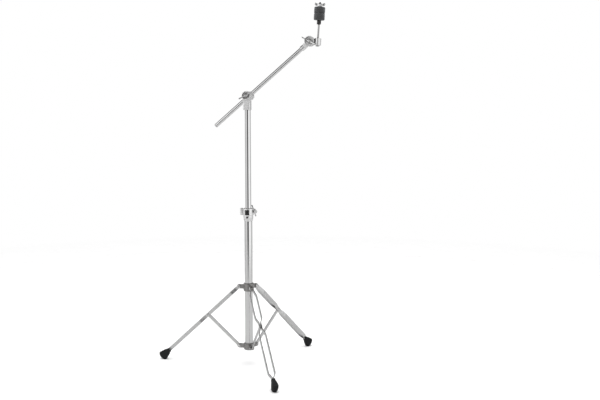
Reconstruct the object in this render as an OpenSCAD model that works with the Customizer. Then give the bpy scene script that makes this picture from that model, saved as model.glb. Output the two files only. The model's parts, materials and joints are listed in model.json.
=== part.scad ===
// Cymbal boom stand: folding braced tripod, two-stage mast, tilting boom and tilting cymbal holder.
// Millimetres. +X is the side the boom reaches to, +Z is up, and the origin is on the
// mast axis at floor level. Each leg is drawn along +X and turned to its own azimuth.

/* [Tripod] */
// Angle of the legs from vertical, as stored
leg_angle = 47.2; // [40:0.1:54]
// Length of a brace between its pivots, and of the leg from collar to brace
brace_len = 145; // [130:1:160]
// Height of the lower brace pivots
low_pivot_z = 61; // [56:1:66]
// Radius of the brace and leg pivots from the mast axis
pivot_r = 32.5; // [30:0.5:36]
// Width of the flat leg strips
strip_w = 11.5; // [9:0.5:13]
// Thickness of the flat leg strips
strip_t = 2.2; // [1.8:0.1:2.6]
// Half the spacing between the two strips of a leg where they bow apart
bow = 10.3; // [8:0.1:12]

/* [Mast] */
// Outer diameter of the lower tube
lower_d = 25.4; // [25.4:0.1:25.4]
// Outer diameter of the upper tube
upper_d = 19.05; // [19.05:0.05:19.05]
// Wall thickness of the tubes
tube_wall = 1.2; // [1:0.1:1.4]
// Height of the top of the lower tube
lower_top_z = 491; // [480:1:500]
// Height of the boom clamp axis
clamp_z = 875; // [840:1:890]

/* [Boom] */
// Outer diameter of the boom
boom_d = 12.7; // [12.7:0.1:12.7]
// Angle of the boom above horizontal, as stored
boom_angle = 40.3; // [20:0.1:60]
// Length of boom below the clamp axis
boom_back = 147; // [60:1:180]
// Length from the clamp axis to the cymbal tilter axis
boom_reach = 260.5; // [220:0.5:300]
// Distance of the boom behind the mast axis
boom_y = 19; // [19:0.5:22]

/* [Cymbal holder] */
// Lean of the cymbal rod towards the boom side, as stored
rod_lean = 3.5; // [-20:0.5:20]
// Diameter of the threaded cymbal rod
rod_d = 6; // [6:1:8]
// Diameter of the felts
felt_d = 34.6; // [30:0.2:40]
// Thickness of one felt
felt_t = 20; // [12:1:22]

/* [Hidden] */
$fn = 64;
LEGS = ["front", "rear", "side"];
leg_az = [-60, 60, 180];
run = 0.05;           // radial clearance of a shaft in a bore it turns or slides in
gap = 0.3;            // gap between faces of different bodies

// Tripod linkage: a brace and the upper leg are equal, so the collar rides straight up the tube
sa = sin(leg_angle);
ca = cos(leg_angle);
mid_r = pivot_r + brace_len * sa;
mid_z = low_pivot_z + brace_len * ca;
top_z = low_pivot_z + 2 * brace_len * ca;
brace_t = 3;          // brace thickness
brace_w = 10.5;       // brace width
lug_t = 6;            // collar lug thickness between the two leg strips
rivet_r = 3;          // shank radius of the pivot rivets
head_r = 4.6;         // rivet head radius
head_t = 1.6;         // rivet head thickness

// Rubber foot: a fan whose round sole is centred on the leg's line
sole_r = 20.5;
sole_sink = 0.8;      // depth of the flat worn on the sole where it meets the floor
sole_half_w = 10.2;   // half the width where the fan starts
flank_angle = 15.2;   // angle at which the fan opens, from the leg's line
foot_neck_w = 14.8;
foot_t_top = 12;
foot_t_low = 19.4;
foot_pin_r = 1.5;
foot_pin_half = 5.2;  // the rubber hides both ends of the pin
foot_pin_back = 13;   // from the sole's centre back to the pin through strips and foot
foot_x = brace_len + (mid_z - (sole_r - sole_sink)) / ca; // sole centre along the leg from the top pivot
leg_end_x = foot_x - 7;
foot_pin_x = foot_x - foot_pin_back;

// Castings round the lower tube
spider_r = 17;
spider_z0 = 50;
spider_z1 = 72;
ring_r = 16.8;
ring_z0 = top_z - 14;
ring_z1 = top_z + 12.5;
lower_r = lower_d / 2;
upper_r = upper_d / 2;
upper_in_r = upper_r - tube_wall;
lower_z0 = 53;
chamfer = 1.5;        // on the rims of both castings
fork_w = 10.6;        // width of the spider's forked lugs
lug_round = 7;        // radius of the collar's lug ends
set_screw_r = 2.5;
hex_r = 1.4;          // socket of the set screws
spider_screw_z = low_pivot_z + 3;
lock_z = top_z - 1;
lock_r = 3;           // lock bolt's shank
lock_az = 120;        // lock bolt and set screw sit between two legs
far = 60;             // length of a cutter that goes right through

// Height clamp at the top of the lower tube
band_z0 = 492.5;
band_z1 = 514.5;
band_r = 17.2;
bush_r = 13.5;
bush_z0 = lower_top_z + gap;
bush_z1 = 513.5;
lug_x = 21.4;         // clamp bolt axis from the mast axis
lug_z = 504;
lug_r = 6.3;
lug_head = 9;         // from the gap in the band to the lug under the bolt's head
lug_nut = 12;         // and to the lug under the nut, so that its wings clear the band
lug_az = 24;          // the lugs point right and a little back, with the nut behind them
hinge_x = -21.6;      // closed knuckle opposite the clamp bolt
knuckle_r = 5.8;
hinge_pin_r = 2.5;
collar_bolt_r = 3;
cup_z0 = 473;         // tapered cup on the lower tube
cup_z1 = 485;
cup_r0 = 13.7;
cup_r1 = 15.8;
window_w = 13.4;      // window in the band that shows the bush
window_z0 = 494;
window_h = 16;
roll_pin_z = 486;
roll_pin_r = 3;

// Upper tube
upper_z0 = 400;
upper_z1 = clamp_z - 18;
socket_z0 = clamp_z - 45;
socket_z1 = clamp_z - 15;
socket_r = 12;
head_screw_z = clamp_z - 33;
head_screw_end = 12.6; // outer end of the screw from the mast axis

// Boom clamp on its own axis, which runs along Y through the boom
disc_r = 14;
disc_y0 = -22;        // front face
disc_y1 = -1;         // toothed face
hub_y0 = disc_y1 + gap;
hub_y1 = 32;
hub_disc_y1 = 7;
hub_round_r = 14.4;   // octagonal back of the turning half
bolt_r = 4;
dish = 3;             // depth of the dish in both clamps' front faces, and its rim
guide_r = 1.7;        // guide pin hole beside each bolt
liner_r = 7.8;        // outer radius of the liner between hub and boom
eye_r = 11.5;
eye_len = 9;

// Cymbal tilter
tilt_x = boom_reach * cos(boom_angle);
tilt_z = clamp_z + boom_reach * sin(boom_angle);
drum_r = 16;
drum_y0 = boom_y - 15.5;
drum_y1 = boom_y - 0.3;
half_r = 15;
arm = 24.7;           // offset of the cymbal rod from the tilter axis
boss_r = 10.5;
boss_h = 21;
sleeve_r = 8.4;
pin_x = boom_reach - 29; // cross pin that holds the casting on the boom
pin_r = 1.5;
arm_t = 11;           // thickness of the turning half
hex_nut_r = 5.8;      // across the corners of the small nuts
washer_r = 8;

// Cymbal seat along the rod, measured from the tilter axis
stub_z0 = 54;
seat_z = 67;
rod_z1 = 122;
rod_z0 = -9;
pipe_r = 5.5;

// ---- shared shapes ----

module tube(r_out, r_in, h) {
    difference() {
        cylinder(r = r_out, h = h);
        translate([0, 0, -1]) cylinder(r = r_in, h = h + 2);
    }
}

// Cylinder along Y from y0 to y1 in the XZ plane's origin
module along_y(r, y0, y1) {
    translate([0, y1, 0]) rotate([90, 0, 0]) cylinder(r = r, h = y1 - y0);
}

// Round-ended bar in 2D from the origin to [len, 0]
module bar2d(len, w) {
    translate([0, -w / 2]) square([len, w]);
    circle(d = w);
    translate([len, 0]) circle(d = w);
}

// One lobe of a wing nut in 2D, root at the origin, reaching along +X
module lobe2d(reach, root_w, tip_r) {
    polygon([[0, -root_w / 2], [reach - tip_r, -tip_r], [reach - tip_r, tip_r], [0, root_w / 2]]);
    translate([reach - tip_r, 0]) circle(r = tip_r);
}

// Wing nut with its axis along Z, seat face at z = 0, wings along X and swept away from the seat
module wing_nut(span, boss_r, boss_h, hole_r, wing_t) {
    difference() {
        union() {
            cylinder(r = boss_r, h = boss_h * 0.5);
            translate([0, 0, boss_h * 0.5]) cylinder(r1 = boss_r, r2 = boss_r * 0.78, h = boss_h * 0.5);
            for (s = [0, 180]) rotate([0, 0, s])
                translate([boss_r * 0.55, wing_t / 2, boss_h * 0.5]) rotate([90, -16, 0])
                    linear_extrude(height = wing_t) lobe2d(span / 2 - boss_r * 0.5, boss_h * 0.62, boss_h * 0.42);
        }
        translate([0, 0, -1]) cylinder(r = hole_r, h = boss_h + 10);
    }
}

// Rivet along Y with a flat head at each end, half_grip from the middle to a head
module rivet(half_grip) {
    along_y(rivet_r, -half_grip, half_grip);
    along_y(head_r, -half_grip - head_t, -half_grip);
    along_y(head_r, half_grip, half_grip + head_t);
}

// Set screw along Z with a hexagonal socket in its upper end
module set_screw(h) {
    difference() {
        cylinder(r = set_screw_r, h = h);
        translate([0, 0, h - 2]) cylinder(r = hex_r, h = 5, $fn = 6);
    }
}

// Drum round the mast with both rims chamfered
module chamfered_drum(r, z0, z1) {
    translate([0, 0, z0]) cylinder(r1 = r - chamfer, r2 = r, h = chamfer);
    translate([0, 0, z0 + chamfer]) cylinder(r = r, h = z1 - z0 - 2 * chamfer);
    translate([0, 0, z1 - chamfer]) cylinder(r1 = r, r2 = r - chamfer, h = chamfer);
}

// Places a leg part: X radial, Z up, Y tangential
module on_leg(i) { rotate([0, 0, leg_az[i]]) children(); }

// Puts a part drawn along +X onto the leg's line, from its top pivot
module on_leg_line(i) {
    on_leg(i) translate([pivot_r, 0, top_z]) rotate([0, 90 - leg_angle, 0]) children();
}

// Frame of the boom: X along the boom, Z square to it, Y across
module on_boom() { translate([0, boom_y, clamp_z]) rotate([0, -boom_angle, 0]) children(); }

// Frame of the boom clamp axis, square to the world
module on_clamp() { translate([0, 0, clamp_z]) children(); }

// Frame of the cymbal holder: Z along the rod, origin where the tilter axis meets the boom line
module on_tilter() { translate([tilt_x, boom_y, tilt_z]) rotate([0, rod_lean, 0]) children(); }

// Frame of the cymbal rod's own axis
module on_rod() { on_tilter() translate([arm, 0, 0]) children(); }

// ---- tripod ----

module lower_tube() {
    color("gainsboro") translate([0, 0, lower_z0]) difference() {
        tube(lower_r, lower_r - tube_wall, lower_top_z - lower_z0);
        // cross hole for the collar's roll pin
        translate([0, 0, roll_pin_z - lower_z0]) along_y(roll_pin_r, -20, 0);
    }
}

module tube_end_plug() {
    color("dimgray") translate([0, 0, lower_z0 - 4]) {
        cylinder(r = lower_r, h = 4);
        cylinder(r = lower_r - tube_wall, h = 16);
    }
}

// Casting at the foot of the tube, with a forked lug for each brace
module leg_spider() {
    color("darkgray") difference() {
        union() {
            chamfered_drum(spider_r, spider_z0, spider_z1);
            for (i = [0:2]) on_leg(i) {
                translate([14, -fork_w / 2, low_pivot_z - 6.3]) cube([pivot_r - 14, fork_w, 12.6]);
                translate([pivot_r, 0, low_pivot_z]) along_y(6.3, -fork_w / 2, fork_w / 2);
            }
        }
        translate([0, 0, spider_z0 - 1]) cylinder(r = lower_r, h = spider_z1 - spider_z0 + 2);
        for (i = [0:2]) on_leg(i) {
            translate([pivot_r - 6, -brace_t / 2 - gap, low_pivot_z - 10]) cube([20, brace_t + 2 * gap, 20]);
            translate([pivot_r, 0, low_pivot_z]) along_y(rivet_r, -8, 8);
        }
        // tapped hole for the set screw that holds the casting on the tube
        rotate([0, 0, lock_az]) translate([0, 0, spider_screw_z]) rotate([0, 90, 0])
            cylinder(r = set_screw_r, h = far);
    }
}

module spider_pivot_pins() {
    color("silver") for (i = [0:2]) on_leg(i) translate([pivot_r, 0, low_pivot_z]) {
        rivet(fork_w / 2);
    }
}

module spider_set_screw() {
    color("dimgray") rotate([0, 0, lock_az]) translate([lower_r, 0, spider_screw_z]) rotate([0, 90, 0])
        set_screw(spider_r - lower_r + 0.4);
}

module brace(i) {
    color("darkgray") on_leg(i) translate([pivot_r, 0, low_pivot_z]) rotate([0, leg_angle - 90, 0])
        translate([0, brace_t / 2, 0]) rotate([90, 0, 0]) linear_extrude(height = brace_t)
            difference() {
                bar2d(brace_len, brace_w);
                circle(r = rivet_r + run);
                translate([brace_len, 0]) circle(r = rivet_r + run);
            }
}

// Centre line of one strip as seen along its width: distance from the leg's plane at stations down the leg
pinch_top = lug_t / 2 + gap + strip_t / 2;
pinch_mid = brace_t / 2 + gap + strip_t / 2;
pinch_foot = strip_t / 2 + 0.1;
STRIP_LINE = [
    [-7, pinch_top], [11, pinch_top], [32, bow], [117, bow], [134, pinch_mid],
    [156, pinch_mid], [177, bow], [foot_x - 36, bow], [foot_x - 20, pinch_foot], [leg_end_x, pinch_foot]
];

module strip(side) {
    half = strip_t / 2;
    n = len(STRIP_LINE);
    difference() {
        intersection() {
            translate([0, 0, -strip_w]) linear_extrude(height = 2 * strip_w)
                polygon(concat(
                    [for (p = STRIP_LINE) [p[0], side * (p[1] - half)]],
                    [for (k = [n - 1:-1:0]) [STRIP_LINE[k][0], side * (STRIP_LINE[k][1] + half)]]
                ));
            translate([0, 20, 0]) rotate([90, 0, 0]) linear_extrude(height = 40) {
                translate([0, -strip_w / 2]) square([leg_end_x, strip_w]);
                circle(d = strip_w);
            }
        }
        along_y(rivet_r, -20, 20);
        translate([brace_len, 0, 0]) along_y(rivet_r, -20, 20);
        translate([foot_pin_x, 0, 0]) along_y(foot_pin_r, -20, 20);
    }
}

module leg_strip(i, side) { color("darkgray") on_leg_line(i) strip(side); }

module leg_rivets(i) {
    color("silver") on_leg_line(i) {
        rivet(pinch_top + strip_t / 2);
        translate([brace_len, 0, 0]) rivet(pinch_mid + strip_t / 2);
        translate([foot_pin_x, 0, 0]) along_y(foot_pin_r, -foot_pin_half, foot_pin_half);
    }
}

// Rubber foot, drawn along the leg with the sole's centre at the origin
module foot_body() {
    fan_x0 = -9.5;
    fan_x1 = 30;
    fan_half_w = sole_half_w + (fan_x1 - fan_x0) * tan(flank_angle);
    intersection() {
        rotate([90, 0, 0]) translate([0, 0, -20]) linear_extrude(height = 40) {
            intersection() {
                circle(r = sole_r);
                polygon([
                    [fan_x0, -sole_half_w], [fan_x0, sole_half_w], [fan_x1, fan_half_w], [fan_x1, -fan_half_w]
                ]);
            }
            translate([-18, -foot_neck_w / 2]) square([10, foot_neck_w]);
        }
        translate([0, 0, -30]) linear_extrude(height = 60) polygon([
            [-18, -foot_t_top / 2], [-10, -foot_t_top / 2], [12, -foot_t_low / 2], [17, -foot_t_low / 2 + 2],
            [21, -5], [21, 5], [17, foot_t_low / 2 - 2], [12, foot_t_low / 2], [-10, foot_t_top / 2],
            [-18, foot_t_top / 2]
        ]);
    }
}

module foot(i) {
    color([0.13, 0.13, 0.15]) difference() {
        on_leg_line(i) translate([foot_x, 0, 0]) difference() {
            foot_body();
            // pocket for the ends of the two strips
            translate([-30, -pinch_foot - strip_t / 2, -strip_w / 2])
                cube([leg_end_x - foot_x + 30, 2 * pinch_foot + strip_t, strip_w]);
            translate([-foot_pin_back, 0, 0]) along_y(foot_pin_r, -foot_pin_half, foot_pin_half);
        }
        // flat worn on the sole where it meets the floor
        translate([-500, -500, -50]) cube([1000, 1000, 50]);
    }
}

// Sliding collar that the three legs hang from
module tripod_collar() {
    color("darkgray") difference() {
        union() {
            chamfered_drum(ring_r, ring_z0, ring_z1);
            for (i = [0:2]) on_leg(i) {
                translate([14, -lug_t / 2, top_z - lug_round]) cube([pivot_r - 14, lug_t, 2 * lug_round]);
                translate([pivot_r, 0, top_z]) along_y(lug_round, -lug_t / 2, lug_t / 2);
            }
            // boss for the lock bolt, between two legs
            rotate([0, 0, lock_az]) translate([12, 0, lock_z]) rotate([0, 90, 0]) cylinder(r = 7, h = 11);
        }
        translate([0, 0, ring_z0 - 1]) cylinder(r = lower_r + run, h = ring_z1 - ring_z0 + 2);
        for (i = [0:2]) on_leg(i) translate([pivot_r, 0, top_z]) along_y(rivet_r + run, -8, 8);
        rotate([0, 0, lock_az]) translate([0, 0, lock_z]) rotate([0, 90, 0]) cylinder(r = lock_r + run, h = far);
    }
}

// Wing bolt that locks the collar on the tube
module tripod_lock_bolt() {
    color("silver") rotate([0, 0, lock_az]) translate([lower_r + 0.2, 0, lock_z]) rotate([0, 90, 0]) {
        cylinder(r = lock_r, h = 14);
        translate([0, 0, 11]) wing_nut(36, 5.5, 9, 0.01, 3);
    }
}

// ---- height clamp ----

module at_lugs() { rotate([0, 0, lug_az]) translate([lug_x, 0, lug_z]) children(); }

module height_collar() {
    color("lightgray") difference() {
        union() {
            translate([0, 0, cup_z0]) cylinder(r1 = cup_r0, r2 = cup_r1, h = cup_z1 - cup_z0);
            translate([0, 0, cup_z1]) cylinder(r = cup_r1, h = band_z0 - cup_z1);
            translate([0, 0, band_z0]) cylinder(r = band_r, h = band_z1 - band_z0);
            // knuckle that closes the band
            translate([hinge_x, 0, band_z0 + 1]) cylinder(r = knuckle_r, h = band_z1 - band_z0 - 2);
            translate([hinge_x, -4.5, band_z0 + 1]) cube([8, 9, band_z1 - band_z0 - 2]);
            // lugs for the clamp bolt
            at_lugs() {
                along_y(lug_r, -lug_head, lug_nut);
                translate([14 - lug_x, -lug_head, -lug_r]) cube([lug_x - 14, lug_head + lug_nut, 2 * lug_r]);
            }
        }
        translate([0, 0, cup_z0 - 3]) cylinder(r = lower_r, h = 40);
        translate([0, 0, lower_top_z + 0.01]) cylinder(r = bush_r + run, h = 30);
        // window that shows the bush, and the gap that lets the band close
        translate([-window_w / 2, -30, window_z0]) cube([window_w, 30, window_h]);
        rotate([0, 0, lug_az]) translate([10, -1, lower_top_z + 0.5]) cube([30, 2, 30]);
        at_lugs() along_y(collar_bolt_r, -30, 30);
        translate([0, 0, roll_pin_z]) along_y(roll_pin_r, -30, 0);
        translate([hinge_x, 0, cup_z0]) cylinder(r = hinge_pin_r, h = far);
    }
}

module collar_roll_pin() {
    color("dimgray") translate([0, 0, roll_pin_z]) difference() {
        along_y(roll_pin_r, -16, -10.5);
        along_y(roll_pin_r - 1.1, -17, -10);
    }
}

module collar_hinge_pin() {
    color("silver") translate([hinge_x, 0, band_z0]) {
        cylinder(r = hinge_pin_r, h = band_z1 - band_z0);
        translate([0, 0, band_z1 - band_z0 - 1]) cylinder(r = hinge_pin_r + 1.1, h = 1.6);
    }
}

module collar_clamp_bolt() {
    color("silver") at_lugs() {
        along_y(collar_bolt_r, -lug_head, lug_nut + 13);
        translate([0, -lug_head, 0]) rotate([90, 0, 0]) cylinder(r = hex_nut_r, h = 5, $fn = 6);
    }
}

module collar_wing_nut() {
    color("silver") at_lugs() translate([0, lug_nut + gap, 0]) rotate([-90, 0, 0]) rotate([0, 0, 70])
        wing_nut(40, 6.2, 10, collar_bolt_r + run, 3);
}

// Split nylon bush that the upper tube slides in, and that turns in the collar
module tube_bush() {
    color([0.12, 0.12, 0.13]) translate([0, 0, bush_z0]) difference() {
        tube(bush_r, upper_r + run, bush_z1 - bush_z0);
        translate([5, -0.6, -1]) cube([20, 1.2, 40]);
    }
}

// ---- upper tube and boom clamp ----

module upper_tube() {
    color("gainsboro") translate([0, 0, upper_z0]) difference() {
        tube(upper_r, upper_in_r, upper_z1 - upper_z0);
        translate([0, 0, head_screw_z - upper_z0]) rotate([0, -90, 0]) cylinder(r = set_screw_r, h = 20);
    }
}

module upper_tube_end_ring() {
    color("dimgray") translate([0, 0, upper_z0 - 4]) {
        tube(upper_r + 1.2, upper_in_r - 2, 4);
        tube(upper_in_r, upper_in_r - 2, 14);
    }
}

// Casting on top of the upper tube: socket, neck and the fixed half of the boom clamp
module mast_head() {
    color("lightgray") difference() {
        union() {
            translate([0, 0, socket_z0]) linear_extrude(height = socket_z1 - socket_z0) {
                circle(r = socket_r);
                translate([-socket_r, -14]) square([2 * socket_r, 14]);
                translate([-8, -18]) square([16, 8]);
                for (s = [-1, 1]) translate([s * 8, -14]) circle(r = 4);
            }
            on_clamp() {
                along_y(disc_r, disc_y0, disc_y1);
                translate([-11, -19, -22]) cube([22, 18, 22]);
            }
        }
        translate([0, 0, socket_z0 - 1]) cylinder(r = upper_r, h = upper_z1 - socket_z0 + 1);
        // dished front face, bolt hole and the guide pin hole beside it
        on_clamp() {
            along_y(disc_r - dish, disc_y0 - 5, disc_y0 + dish);
            along_y(bolt_r + run, -40, 10);
            translate([-7.6, 0, 0]) along_y(guide_r, disc_y0 - 1, disc_y0 + 9);
        }
        translate([0, 0, head_screw_z]) rotate([0, -90, 0]) cylinder(r = set_screw_r, h = 20);
    }
}

module mast_head_screw() {
    color("dimgray") translate([-upper_in_r, 0, head_screw_z]) rotate([0, -90, 0])
        set_screw(head_screw_end - upper_in_r);
}

// Turning half of the boom clamp, with a slot for the eye bolt
module boom_hub() {
    color("silver") difference() {
        union() {
            on_clamp() along_y(disc_r, hub_y0, hub_disc_y1);
            translate([0, hub_disc_y1, clamp_z]) rotate([-90, boom_angle + 22.5, 0])
                cylinder(r = hub_round_r, h = hub_y1 - hub_disc_y1, $fn = 8);
        }
        on_boom() translate([-30, 0, 0]) rotate([0, 90, 0]) cylinder(r = liner_r + run, h = 60);
        on_boom() translate([-eye_len / 2 - gap, -12, -12]) cube([eye_len + 2 * gap, 40, 24]);
        on_clamp() along_y(bolt_r, -10, 12);
    }
}

module boom_eye_bolt() {
    color("silver") {
        difference() {
            union() {
                on_boom() translate([-eye_len / 2, 0, 0]) rotate([0, 90, 0]) cylinder(r = eye_r, h = eye_len);
                on_clamp() along_y(bolt_r, -33, boom_y - liner_r - 1);
            }
            on_boom() translate([-eye_len, 0, 0]) rotate([0, 90, 0])
                cylinder(r = liner_r + 0.1, h = 2 * eye_len);
        }
    }
}

module boom_lock_washer() {
    color("silver") on_clamp() difference() {
        along_y(washer_r, disc_y0 + 1.6, disc_y0 + 2.8);
        along_y(bolt_r + 0.2, -40, 0);
    }
}

module boom_wing_nut() {
    color("silver") on_clamp() translate([0, disc_y0 + 1.3, 0]) rotate([90, 0, 0]) rotate([0, 0, 28])
        wing_nut(47, 6.8, 11, bolt_r + run, 3.4);
}

// Split liner between the clamp and the boom
module boom_liner() {
    color("dimgray") on_boom() translate([-12.5, 0, 0]) rotate([0, 90, 0]) difference() {
        tube(liner_r, boom_d / 2 + run, 25);
        translate([0, -0.5, -1]) cube([20, 1, 40]);
    }
}

module boom_tube() {
    color("gainsboro") on_boom() difference() {
        translate([-boom_back, 0, 0]) rotate([0, 90, 0])
            tube(boom_d / 2, boom_d / 2 - tube_wall, boom_back + boom_reach - 18);
        translate([pin_x, 0, 0]) along_y(pin_r, -20, 20);
    }
}

module boom_end_cap() {
    color("dimgray") on_boom() translate([-boom_back - 1.5, 0, 0]) rotate([0, 90, 0]) {
        cylinder(r = boom_d / 2, h = 1.5);
        cylinder(r = boom_d / 2 - tube_wall, h = 12);
    }
}

// ---- cymbal tilter ----

// Casting on the end of the boom: socket and the fixed half of the cymbal tilter
module tilter_socket() {
    color("lightgray") difference() {
        union() {
            on_boom() translate([boom_reach - 36, 0, 0]) rotate([0, 90, 0]) cylinder(r = sleeve_r, h = 20);
            on_boom() translate([boom_reach - 24, -sleeve_r - 4, -6.5]) cube([20, 12, 13]);
            translate([tilt_x, 0, tilt_z]) along_y(drum_r, drum_y0, drum_y1);
        }
        on_boom() translate([boom_reach - 40, 0, 0]) rotate([0, 90, 0]) cylinder(r = boom_d / 2, h = 22);
        translate([tilt_x, 0, tilt_z]) {
            along_y(drum_r - dish, drum_y0 - 5, drum_y0 + dish);
            along_y(bolt_r + run, -40, far);
            translate([-8, 0, 0]) along_y(guide_r, drum_y0 - 1, drum_y0 + 9);
        }
        on_boom() translate([pin_x, 0, 0]) along_y(pin_r, -20, 20);
    }
}

module tilter_socket_pin() {
    color("silver") on_boom() translate([pin_x, 0, 0]) along_y(pin_r, -sleeve_r, sleeve_r);
}

// Turning half of the cymbal tilter, with the upright boss that holds the rod
module tilter_arm() {
    color("silver") on_tilter() difference() {
        union() {
            along_y(half_r, 0.1, arm_t);
            translate([0, 1, -8]) cube([arm, 9, 16]);
            translate([arm, 0, -boss_h / 2]) cylinder(r = boss_r, h = boss_h);
        }
        // room for the fixed half to turn in
        along_y(drum_r + 0.6, -20, 0.1);
        along_y(bolt_r, -30, 30);
        translate([arm, 0, -30]) cylinder(r = rod_d / 2, h = 60);
    }
}

module tilter_bolt() {
    color("silver") translate([tilt_x, boom_y, tilt_z]) {
        along_y(bolt_r, -26, arm_t);
        translate([0, arm_t, 0]) rotate([-90, 0, 0]) cylinder(r = 7, h = 5, $fn = 6);
    }
}

module tilter_lock_washer() {
    color("silver") translate([tilt_x, drum_y0, tilt_z]) difference() {
        along_y(washer_r, 1.6, 2.8);
        along_y(bolt_r + 0.2, -10, 10);
    }
}

module tilter_wing_nut() {
    color("silver") translate([tilt_x, drum_y0 + 1.3, tilt_z]) rotate([90, 0, 0]) rotate([0, 0, -28])
        wing_nut(50, 6.8, 11, bolt_r + run, 3.4);
}

module cymbal_rod() {
    color("gray") on_rod() translate([0, 0, rod_z0]) {
        cylinder(d = rod_d, h = rod_z1 - rod_z0 - 0.8);
        translate([0, 0, rod_z1 - rod_z0 - 0.8]) cylinder(r1 = rod_d / 2, r2 = rod_d / 2 - 0.8, h = 0.8);
    }
}

module rod_lock_nut() {
    color("silver") on_rod() translate([0, 0, -boss_h / 2 - 4]) difference() {
        cylinder(r = hex_nut_r, h = 4, $fn = 6);
        translate([0, 0, 1.5]) cylinder(d = rod_d, h = 9);
    }
}

module cymbal_sleeve() {
    color([0.1, 0.1, 0.11]) on_rod() difference() {
        union() {
            translate([0, 0, stub_z0]) cylinder(r = 6.5, h = seat_z - stub_z0);
            translate([0, 0, seat_z]) cylinder(r = pipe_r, h = 2 * felt_t);
        }
        translate([0, 0, 0]) cylinder(d = rod_d, h = 200);
    }
}

module felt() {
    edge = 2;
    rotate_extrude() polygon(concat(
        [[pipe_r + 0.05, 0]],
        [for (a = [-90:15:0]) [felt_d / 2 - edge + edge * cos(a), edge + edge * sin(a)]],
        [for (a = [0:15:90]) [felt_d / 2 - edge + edge * cos(a), felt_t - edge + edge * sin(a)]],
        [[pipe_r + 0.05, felt_t]]
    ));
}

module lower_felt() { color("dimgray") on_rod() translate([0, 0, seat_z]) felt(); }

module upper_felt() { color("dimgray") on_rod() translate([0, 0, seat_z + felt_t + 0.1]) felt(); }

module cymbal_wing_nut() {
    color("silver") on_rod() translate([0, 0, seat_z + 2 * felt_t + gap]) rotate([0, 0, 8]) {
        wing_nut(33, 6.5, 11, rod_d / 2 + run, 3);
        tube(9, rod_d / 2 + run, 1.6);
    }
}

lower_tube();
tube_end_plug();
leg_spider();
spider_pivot_pins();
spider_set_screw();
height_collar();
collar_roll_pin();
collar_hinge_pin();
collar_clamp_bolt();
collar_wing_nut();
for (i = [0:2]) {
    brace(i);
    leg_strip(i, 1);
    leg_strip(i, -1);
    leg_rivets(i);
    foot(i);
}
tripod_collar();
tripod_lock_bolt();
tube_bush();
upper_tube();
upper_tube_end_ring();
mast_head();
mast_head_screw();
boom_hub();
boom_eye_bolt();
boom_lock_washer();
boom_wing_nut();
boom_liner();
boom_tube();
boom_end_cap();
tilter_socket();
tilter_socket_pin();
tilter_arm();
tilter_bolt();
tilter_lock_washer();
tilter_wing_nut();
cymbal_rod();
rod_lock_nut();
cymbal_sleeve();
lower_felt();
upper_felt();
cymbal_wing_nut();
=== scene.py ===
import json
import math

import bmesh
import bpy
from mathutils import Matrix, Vector, noise


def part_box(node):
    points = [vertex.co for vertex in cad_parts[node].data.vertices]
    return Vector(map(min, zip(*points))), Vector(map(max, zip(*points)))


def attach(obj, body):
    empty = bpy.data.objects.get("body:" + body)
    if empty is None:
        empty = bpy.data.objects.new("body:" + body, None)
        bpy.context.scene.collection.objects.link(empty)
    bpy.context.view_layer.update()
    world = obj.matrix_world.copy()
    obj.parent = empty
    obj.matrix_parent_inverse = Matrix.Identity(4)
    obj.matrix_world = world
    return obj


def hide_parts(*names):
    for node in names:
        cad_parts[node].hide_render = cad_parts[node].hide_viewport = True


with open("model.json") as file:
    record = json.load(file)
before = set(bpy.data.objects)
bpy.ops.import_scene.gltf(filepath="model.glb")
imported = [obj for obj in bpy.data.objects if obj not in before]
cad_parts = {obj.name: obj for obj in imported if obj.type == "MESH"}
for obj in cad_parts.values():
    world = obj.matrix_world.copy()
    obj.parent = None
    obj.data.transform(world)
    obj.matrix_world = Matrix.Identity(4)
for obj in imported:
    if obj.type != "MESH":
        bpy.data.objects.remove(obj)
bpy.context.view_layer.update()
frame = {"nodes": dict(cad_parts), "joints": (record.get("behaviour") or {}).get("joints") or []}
scene = bpy.context.scene
mm = 0.001  # pieces are drawn in millimetres and scaled when they are finished
sideX = Vector((1, 0, 0))
sideY = Vector((0, 1, 0))
up = Vector((0, 0, 1))
print("frame loaded:", len(frame["nodes"]), "nodes")


# places taken from the frame

joints = {j["name"]: j for j in frame["joints"]}


def pointOf(joint):
    return Vector(joints[joint]["pos_m"]) / mm


def axisOf(joint):
    return Vector(joints[joint]["axis"]).normalized()


def along(origin, direction, across=sideX):  # a frame with Z along direction and X as near across as it can
    z = direction.normalized()
    x = (across - z * across.dot(z)).normalized()
    place = Matrix((x, z.cross(x), z)).transposed().to_4x4()
    place.translation = origin
    return place


def sized(node, place):  # lowest and highest corner of a CAD node, seen in that frame
    inverse = place.inverted()
    seen = [inverse @ (v.co / mm) for v in frame["nodes"][node].data.vertices]
    return (Vector([min(p[k] for p in seen) for k in range(3)]),
            Vector([max(p[k] for p in seen) for k in range(3)]))


def middleOf(node):
    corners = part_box(node)
    return (Vector(corners[0]) + Vector(corners[1])) / 2 / mm


def lift(z):
    return Matrix.Translation((0, 0, z))


mastPlace = along(Vector((0, 0, 0)), up)
clampPoint = pointOf("boom_tilt")
clampPlace = along(clampPoint, -sideY)
boomPlace = along(pointOf("boom_roll"), axisOf("boom_slide"))
tiltPoint = pointOf("cymbal_tilt")
rodAxis = axisOf("top_felt_lift")
rodTop = pointOf("cymbal_nut_turn")
rodPlace = along(rodTop - rodAxis * (rodTop - tiltPoint).dot(rodAxis), rodAxis)

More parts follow.
